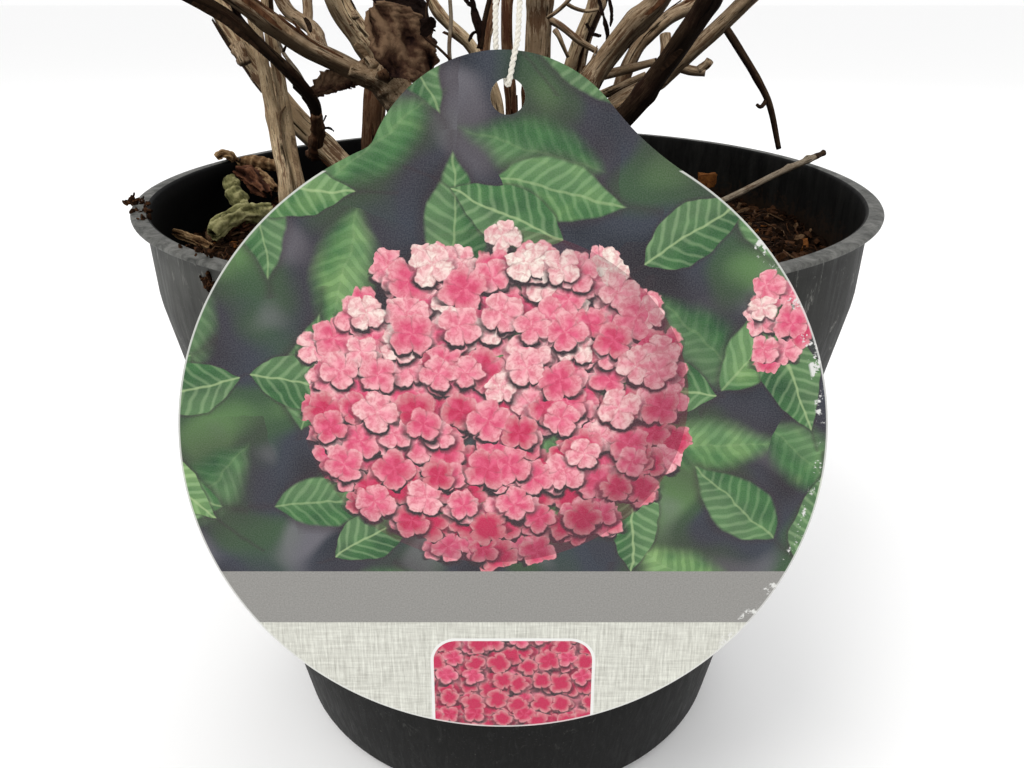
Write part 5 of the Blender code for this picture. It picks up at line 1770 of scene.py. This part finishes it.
def make_card_plain(name, colour):
    """Bare white plastic, faintly smudged."""
    material, tree, shader = start_finish(name, 0.45, 0.4)
    smudge = cloud(tree, place_in_object(tree), 14, 4, 0.6)
    smudged = tuple(0.86 * value for value in colour)
    dress(tree, shader, ramp(tree, smudge, ((0.35, smudged), (0.65, colour))), smudge, 0.1, 0.3)
    return material


card_finishes = [
    make_print("head"), make_print("side"), make_print("foot"),
    make_card_plain("card_back", (0.66, 0.66, 0.63)), make_card_plain("card_edge", (0.70, 0.70, 0.68)),
]
write_piece("picture_card", card, card_finishes, "card_print", ["label_card"], smooth=False)

# %% [markdown]
# The cotton is two yarns laid round each other. Each yarn is a thin tube whose middle circles the string's
# line once in every couple of millimetres, so the twist is real and catches the light.

# %% Lay the string
YARN_RADIUS = 0.36
YARN_ORBIT = 0.26
LAY_LENGTH = 2.3
YARN_STEP = 0.42


def lay_yarn(points, phase):
    """One yarn of the string, which circles the line of points."""
    frames = transported_frames(points + points[:2])
    line = []
    run = 0.0
    for index, (centre, across, upward) in enumerate(frames):
        if index:
            run += (centre - frames[index - 1][0]).length / MM
        turn = math.tau * run / LAY_LENGTH + phase
        line.append(centre + (across * math.cos(turn) + upward * math.sin(turn)) * YARN_ORBIT * MM)
    return grow_tube(line, lambda ring, run, angle: YARN_RADIUS, 7)


def make_cotton():
    """Cream cotton with fine fibres that run along the yarn."""
    material, tree, shader = start_finish("cotton", 0.85, 0.2)
    shader.inputs["Sheen Weight"].default_value = 0.3
    fibre = cloud(tree, place_on_bark(tree, (1, 1, 0.25)), 0.16, 4, 0.7)
    cream = ramp(tree, fibre, ((0.3, (0.50, 0.47, 0.40)), (0.62, (0.78, 0.75, 0.67))))
    dress(tree, shader, cream, fibre, 0.12, 0.8)
    return material


string_points = string_line(YARN_STEP)
twine = new_body()
for phase in (0.0, math.pi):
    pour(twine, lay_yarn(string_points, phase))
write_piece("cotton_string", twine, [make_cotton()], "string", ["label_string"])

# %% [markdown]
# ## The twigs
# Each limb ends in a main twig that bends up to the crown's dome, with side twigs in opposite pairs, each
# pair a quarter turn on from the last, as a hydrangea sets its buds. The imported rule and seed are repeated
# here, so that every packed twig is met. Finer twigs grow on from them, and buds sit in pairs at the
# joints.

# %% Sizes of the crown
PLANT_HEIGHT = 610
CROWN_RADIUS = 205
CROWN_DROP = 165
CROWN_FLOOR = 258
SEED = 11
JOINT_STEP = 36
FIRST_JOINT = 26
BARE_TIP = 26
LEADER_TIP_RADIUS = 1.1
TWIG_RADII = (1.35, 0.85)
TWIG_LENGTH = 104
TWIG_SHORTEST = 0.42
TWIG_ANGLE = math.radians(48)
TWIG_LIFT = 0.45
OWN_SPACE_MARGIN = 5
LIMB_MARGIN = 2.4
LEADER_STEP = 30
LEADER_LEAN = 0.35

# The masses of twigs: the limb each grows on from, its bearing about the pot's middle in degrees from +X
# towards +Y, and how far out its tip lies on the dome, from 0 in the middle to 1 at the crown's edge.
MASSES = {
    "twigs_front_left": ("bough_left_dark", 222, 0.95),
    "twigs_left": ("bough_left", 190, 1.0),
    "twigs_left_inner": ("bough_left_upright", 205, 0.45),
    "twigs_left_pale_front": ("stem_left_pale_front", 186, 0.64),
    "twigs_left_pale_back": ("stem_left_pale_back", 158, 0.52),
    "twigs_left_low": ("stem_left_low", 165, 0.93),
    "twigs_left_rear": ("bough_left_back", 141, 0.82),
    "twigs_rear_left": ("stem_rear_left", 123, 0.5),
    "twigs_top": ("stem_ochre", 175, 0.14),
    "twigs_top_right": ("stem_right_pale", 5, 0.2),
    "twigs_rear_inner": ("stem_red", 101, 0.62),
    "twigs_rear": ("stem_rear", 84, 0.95),
    "twigs_front": ("stem_middle", 266, 0.76),
    "twigs_right_back": ("stem_right_back", 58, 0.42),
    "twigs_right_inner": ("bough_right_upright", 338, 0.48),
    "twigs_front_right": ("bough_right_dark", 300, 0.88),
    "twigs_right": ("bough_right", 352, 0.98),
    "twigs_right_rear": ("stem_right_rear", 34, 0.9),
}
print(len(MASSES), "masses of twigs")


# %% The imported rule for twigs
def crown_point(bearing, share):
    """The place on the crown's dome for a bearing in degrees and a share of the crown's radius."""
    turn = math.radians(bearing)
    out = CROWN_RADIUS * share
    return Vector((out * math.cos(turn), out * math.sin(turn), PLANT_HEIGHT - CROWN_DROP * share**2)) * MM


def leader_line(mass):
    """The main twig of a mass, from just past its limb's tip to the dome, bending upwards."""
    limb, bearing, share = MASSES[mass]
    points, radii = limb_lines[limb]
    onward = (points[-1] - points[-2]).normalized()
    start = points[-1] + onward * CLEAR * MM
    end = crown_point(bearing, share)
    length = (end - start).length
    upward = (Vector((end.x, end.y, 0)).normalized() * LEADER_LEAN + Vector((0, 0, 1))).normalized()
    pieces = max(5, round(length / (LEADER_STEP * MM)))
    shares = [piece / pieces for piece in range(pieces + 1)]
    return [bend(start, onward * length, end, upward * length, share) for share in shares], radii[-1]


def distance_to_line(point, line):
    """The least distance from a point to a line of short straight pieces."""
    least = math.inf
    for start, end in zip(line, line[1:]):
        along = end - start
        share = max(0.0, min(1.0, (point - start).dot(along) / along.length_squared))
        least = min(least, (point - start - along * share).length)
    return least


def keeps_clear(points, mass):
    """Whether a twig stays in its mass's own space, above the crown's floor and off every limb."""
    for point in points:
        if point.z < CROWN_FLOOR * MM:
            return False
        own = distance_to_line(point, leaders[mass][0])
        for other, (line, _) in leaders.items():
            if other != mass and distance_to_line(point, line) < own + OWN_SPACE_MARGIN * MM:
                return False
        for line, radius in obstacles:
            if distance_to_line(point, line) < (radius + LIMB_MARGIN) * MM:
                return False
    return True


def turned_across(along, turn):
    """A direction straight across another, turned about it."""
    across = along.orthogonal().normalized()
    return across * math.cos(turn) + along.cross(across) * math.sin(turn)


def lean_out(along, across, side, angle):
    """The direction of a shoot that leaves a twig at an angle, to one side or the other."""
    return (along * math.cos(angle) + across * side * math.sin(angle)).normalized()


def twig_lines(mass, chance):
    """The side twigs of a mass: decussate pairs along its leader, each bending upwards."""
    line, _ = leaders[mass]
    travelled = runs_along(line, 1.0)
    whole = travelled[-1]
    run = FIRST_JOINT * MM * chance.uniform(0.8, 1.1)
    turn = chance.uniform(0, math.pi)
    twigs = []
    while run < whole - BARE_TIP * MM:
        piece = max(index for index, length in enumerate(travelled[:-1]) if length <= run)
        start, end = line[piece], line[piece + 1]
        along = (end - start).normalized()
        joint = start + along * (run - travelled[piece])
        across = turned_across(along, turn)
        for side in (1, -1):
            heading = lean_out(along, across, side, TWIG_ANGLE)
            full = TWIG_LENGTH * MM * (1 - 0.5 * run / whole) * chance.uniform(0.75, 1.15)
            for shorter in (1.0, 0.8, 0.6, TWIG_SHORTEST):
                length = full * shorter
                lifted = (heading + Vector((0, 0, TWIG_LIFT))).normalized()
                middle = joint + heading * length * 0.5
                tip = middle + lifted * length * 0.5
                if keeps_clear([joint.lerp(middle, 0.5), middle, middle.lerp(tip, 0.5), tip], mass):
                    twigs.append([joint, middle, tip])
                    break
        run += JOINT_STEP * MM * chance.uniform(0.85, 1.15)
        turn += math.pi / 2
    return twigs


leaders = {mass: leader_line(mass) for mass in MASSES}
obstacles = [(points, max(radii)) for points, radii in limb_lines.values()]
obstacles.append((packed_string + packed_string[:1], STRING_RADIUS))
crown_chance = random.Random(SEED)
side_twigs = {mass: twig_lines(mass, crown_chance) for mass in MASSES}
print("side twigs:", sum(len(twigs) for twigs in side_twigs.values()))

# %% [markdown]
# A twig isn't a plain cone: it tapers, swells at each joint and bends a little there. A bud is a small
# pointed egg, pressed to the twig. Both have few faces, because the crown has hundreds of them.

# %% Finer twigs and buds
TWIG_SIDES = 6
RING_STEP = 5.5
JOINT_SWELL = 1.32
FINE_RADII = (0.85, 0.5)
FINE_LENGTH = (16, 40)
FINE_ANGLE = math.radians(42)
FINE_STEP = 7
FINE_LIFT = 0.25
FINE_SHARE = 0.5
LEADER_RING_STEP = 6.0
SAME_TINT_SHARE = 0.7
BUD_LENGTH = 3.6
BUD_RADIUS = 0.95
LEADER_BUD = 1.15
SIDE_BUD = 1.0
JOINT_BUD = 0.85


def wavy_line(stations, chance, step=RING_STEP, wander=0.7):
    """A smooth line through the stations that wanders by a fraction of a millimetre."""
    points = smooth_line(stations, step * MM)
    for index in range(1, len(points) - 1):
        points[index] = points[index] + Vector([chance.uniform(-wander, wander) * MM for _ in range(3)])
    return points


def grow_twig(joined, points, radii, joints, kind):
    """A tapering twig, swollen at its joints, poured into the joined mesh."""
    last = len(points) - 1

    def radius_at(ring, run, angle):
        plain = radii[0] + (radii[1] - radii[0]) * ring / last
        return plain * JOINT_SWELL if ring in joints else plain

    twig = grow_tube(points, radius_at, TWIG_SIDES)
    paint(twig, kind)
    pour(joined, twig)


def grow_bud(joined, place, heading, size, kind):
    """A pointed bud: a small faceted ball, drawn out along its heading."""
    bud = new_body()
    bmesh.ops.create_icosphere(bud, subdivisions=1, radius=1.0)
    for corner in bud.verts:
        x, y, z = corner.co
        taper = 1.0 - 0.45 * max(0.0, z)
        corner.co = (x * BUD_RADIUS * taper, y * BUD_RADIUS * taper, (z + 0.6) * BUD_LENGTH / 2)
    bmesh.ops.scale(bud, vec=(size * MM, size * MM, size * MM), verts=bud.verts)
    turned = heading.to_track_quat("Z", "Y").to_matrix().to_4x4()
    bmesh.ops.transform(bud, matrix=Matrix.Translation(place) @ turned, verts=bud.verts)
    paint(bud, kind)
    pour(joined, bud)


def grow_spray(mass, twigs, buds, chance):
    """All of one mass: its leader, its side twigs, the finer twigs on these, and their buds."""
    line, thick = leaders[mass]
    kind = chance.choice((0, 0, 1, 2))
    foot = line[0] - (line[1] - line[0]).normalized() * MM
    points = wavy_line([foot] + line[1:], chance, LEADER_RING_STEP, 0.35)
    every = max(3, round(JOINT_STEP / LEADER_RING_STEP))
    joints = set(range(every, len(points) - 1, every))
    grow_twig(twigs, points, (thick, LEADER_TIP_RADIUS), joints, kind)
    grow_bud(buds, points[-1], (points[-1] - points[-2]).normalized(), LEADER_BUD, kind)
    for twig in side_twigs[mass]:
        tint = kind if chance.random() < SAME_TINT_SHARE else chance.choice((0, 1, 2))
        grow_side_twig(twig, twigs, buds, tint, chance)


def grow_side_twig(stations, twigs, buds, kind, chance):
    """One side twig, bent at its joints, with finer twigs or buds in pairs."""
    points = wavy_line(stations, chance)
    length = line_length(points)
    every = chance.choice((3, 4))
    joints = set(range(every, len(points) - 1, every))
    grow_twig(twigs, points, TWIG_RADII, joints, kind)
    grow_bud(buds, points[-1], (points[-1] - points[-2]).normalized(), SIDE_BUD, kind)
    turn = chance.uniform(0, math.pi)
    for joint in sorted(joints):
        place = points[joint]
        along = (points[joint + 1] - place).normalized()
        across = turned_across(along, turn)
        for side in (1, -1):
            heading = lean_out(along, across, side, FINE_ANGLE)
            reach = min(chance.uniform(*FINE_LENGTH), length * (1 - joint / len(points)) + 8)
            tip = place + (heading + Vector((0, 0, FINE_LIFT))).normalized() * reach * MM
            if chance.random() < FINE_SHARE and in_crown(tip):
                middle = place.lerp(tip, 0.5) + heading * 0.8 * MM
                fine = wavy_line([place, middle, tip], chance, FINE_STEP, 0.4)
                grow_twig(twigs, fine, FINE_RADII, {len(fine) // 2}, kind)
                grow_bud(buds, fine[-1], (fine[-1] - fine[-2]).normalized(), JOINT_BUD, kind)
            else:
                grow_bud(buds, place + across * side * TWIG_RADII[1] * MM, heading, JOINT_BUD, kind)
        turn += math.pi / 2


def in_crown(point):
    """Whether a point lies inside the crown's dome and above its floor."""
    share = math.hypot(point.x, point.y) / (CROWN_RADIUS * MM)
    top = (PLANT_HEIGHT - CROWN_DROP * share**2) * MM
    return share < 1.0 and CROWN_FLOOR * MM < point.z < top


def make_twig_finish(name, colour, dark):
    """Smooth young bark with darker blotches drawn out along the twig."""
    material, tree, shader = start_finish(name, 0.6, 0.3)
    blotches = cloud(tree, place_in_object(tree, stretch=(1, 1, 0.25)), 1.6, 4, 0.65)
    dress(tree, shader, ramp(tree, blotches, ((0.36, dark), (0.6, colour))), blotches, 0.25, 0.7)
    return material


TWIG_FINISHES = [
    make_twig_finish("twig_red_brown", (0.24, 0.115, 0.06), (0.11, 0.045, 0.025)),
    make_twig_finish("twig_tan", (0.36, 0.24, 0.145), (0.17, 0.10, 0.06)),
    make_twig_finish("twig_grey_brown", (0.22, 0.155, 0.11), (0.085, 0.05, 0.034)),
]
crown_twigs, crown_buds = new_body(), new_body()
spray_chance = random.Random(77)
for mass in MASSES:
    grow_spray(mass, crown_twigs, crown_buds, spray_chance)
write_piece("crown_twigs", crown_twigs, TWIG_FINISHES, "twigs", list(MASSES))
write_piece("crown_buds", crown_buds, TWIG_FINISHES, "twigs")

# %% [markdown]
# ## Floor and light
# The photograph is cut out on white, so the plant stands here on a plain pale floor in soft studio light: a
# broad light from the upper left, a weaker one from the right, and an even pale surround.

# %% Floor and lights
FLOOR_HALF_WIDTH = 40.0
FLOOR_DROP = 0.0004

# Each light in metres: its place, the place that it faces, its width, its power and its colour.
LIGHTS = {
    "key_light": ((-0.9, -1.1, 2.0), (0, 0, 0.2), 0.9, 20, (1, 0.985, 0.96)),
    "fill_light": ((1.5, -0.9, 1.1), (0, 0, 0.2), 1.2, 3, (1, 1, 1)),
    "back_light": ((0.3, 1.6, 1.6), (0, 0, 0.25), 1.2, 6, (1, 1, 1)),
}

floor_mesh = bmesh.new()
bmesh.ops.create_grid(floor_mesh, x_segments=2, y_segments=2, size=FLOOR_HALF_WIDTH)
floor_data = bpy.data.meshes.new("studio_floor")
floor_mesh.to_mesh(floor_data)
floor_mesh.free()
floor_finish, _, floor_shader = start_finish("studio_floor", 0.9, 0.1)
floor_shader.inputs["Base Color"].default_value = (0.95, 0.95, 0.95, 1)
floor_data.materials.append(floor_finish)
studio_floor = bpy.data.objects.new("studio_floor", floor_data)
studio_floor.location.z = -FLOOR_DROP
bpy.context.scene.collection.objects.link(studio_floor)


def add_area_light(name, place, target, size, power, colour):
    """A soft round light that faces a place."""
    data = bpy.data.lights.new(name, "AREA")
    data.shape = "DISK"
    data.size = size
    data.energy = power
    data.color = colour
    light = bpy.data.objects.new(name, data)
    light.location = place
    light.rotation_euler = (Vector(target) - Vector(place)).to_track_quat("-Z", "Y").to_euler()
    bpy.context.scene.collection.objects.link(light)


for name, light in LIGHTS.items():
    add_area_light(name, *light)
surround = bpy.data.worlds.new("surround")
surround.use_nodes = True
surround.node_tree.nodes["Background"].inputs["Color"].default_value = (1, 1, 1, 1)
surround.node_tree.nodes["Background"].inputs["Strength"].default_value = 1.0
bpy.context.scene.world = surround
bpy.context.scene.view_settings.view_transform = "Standard"
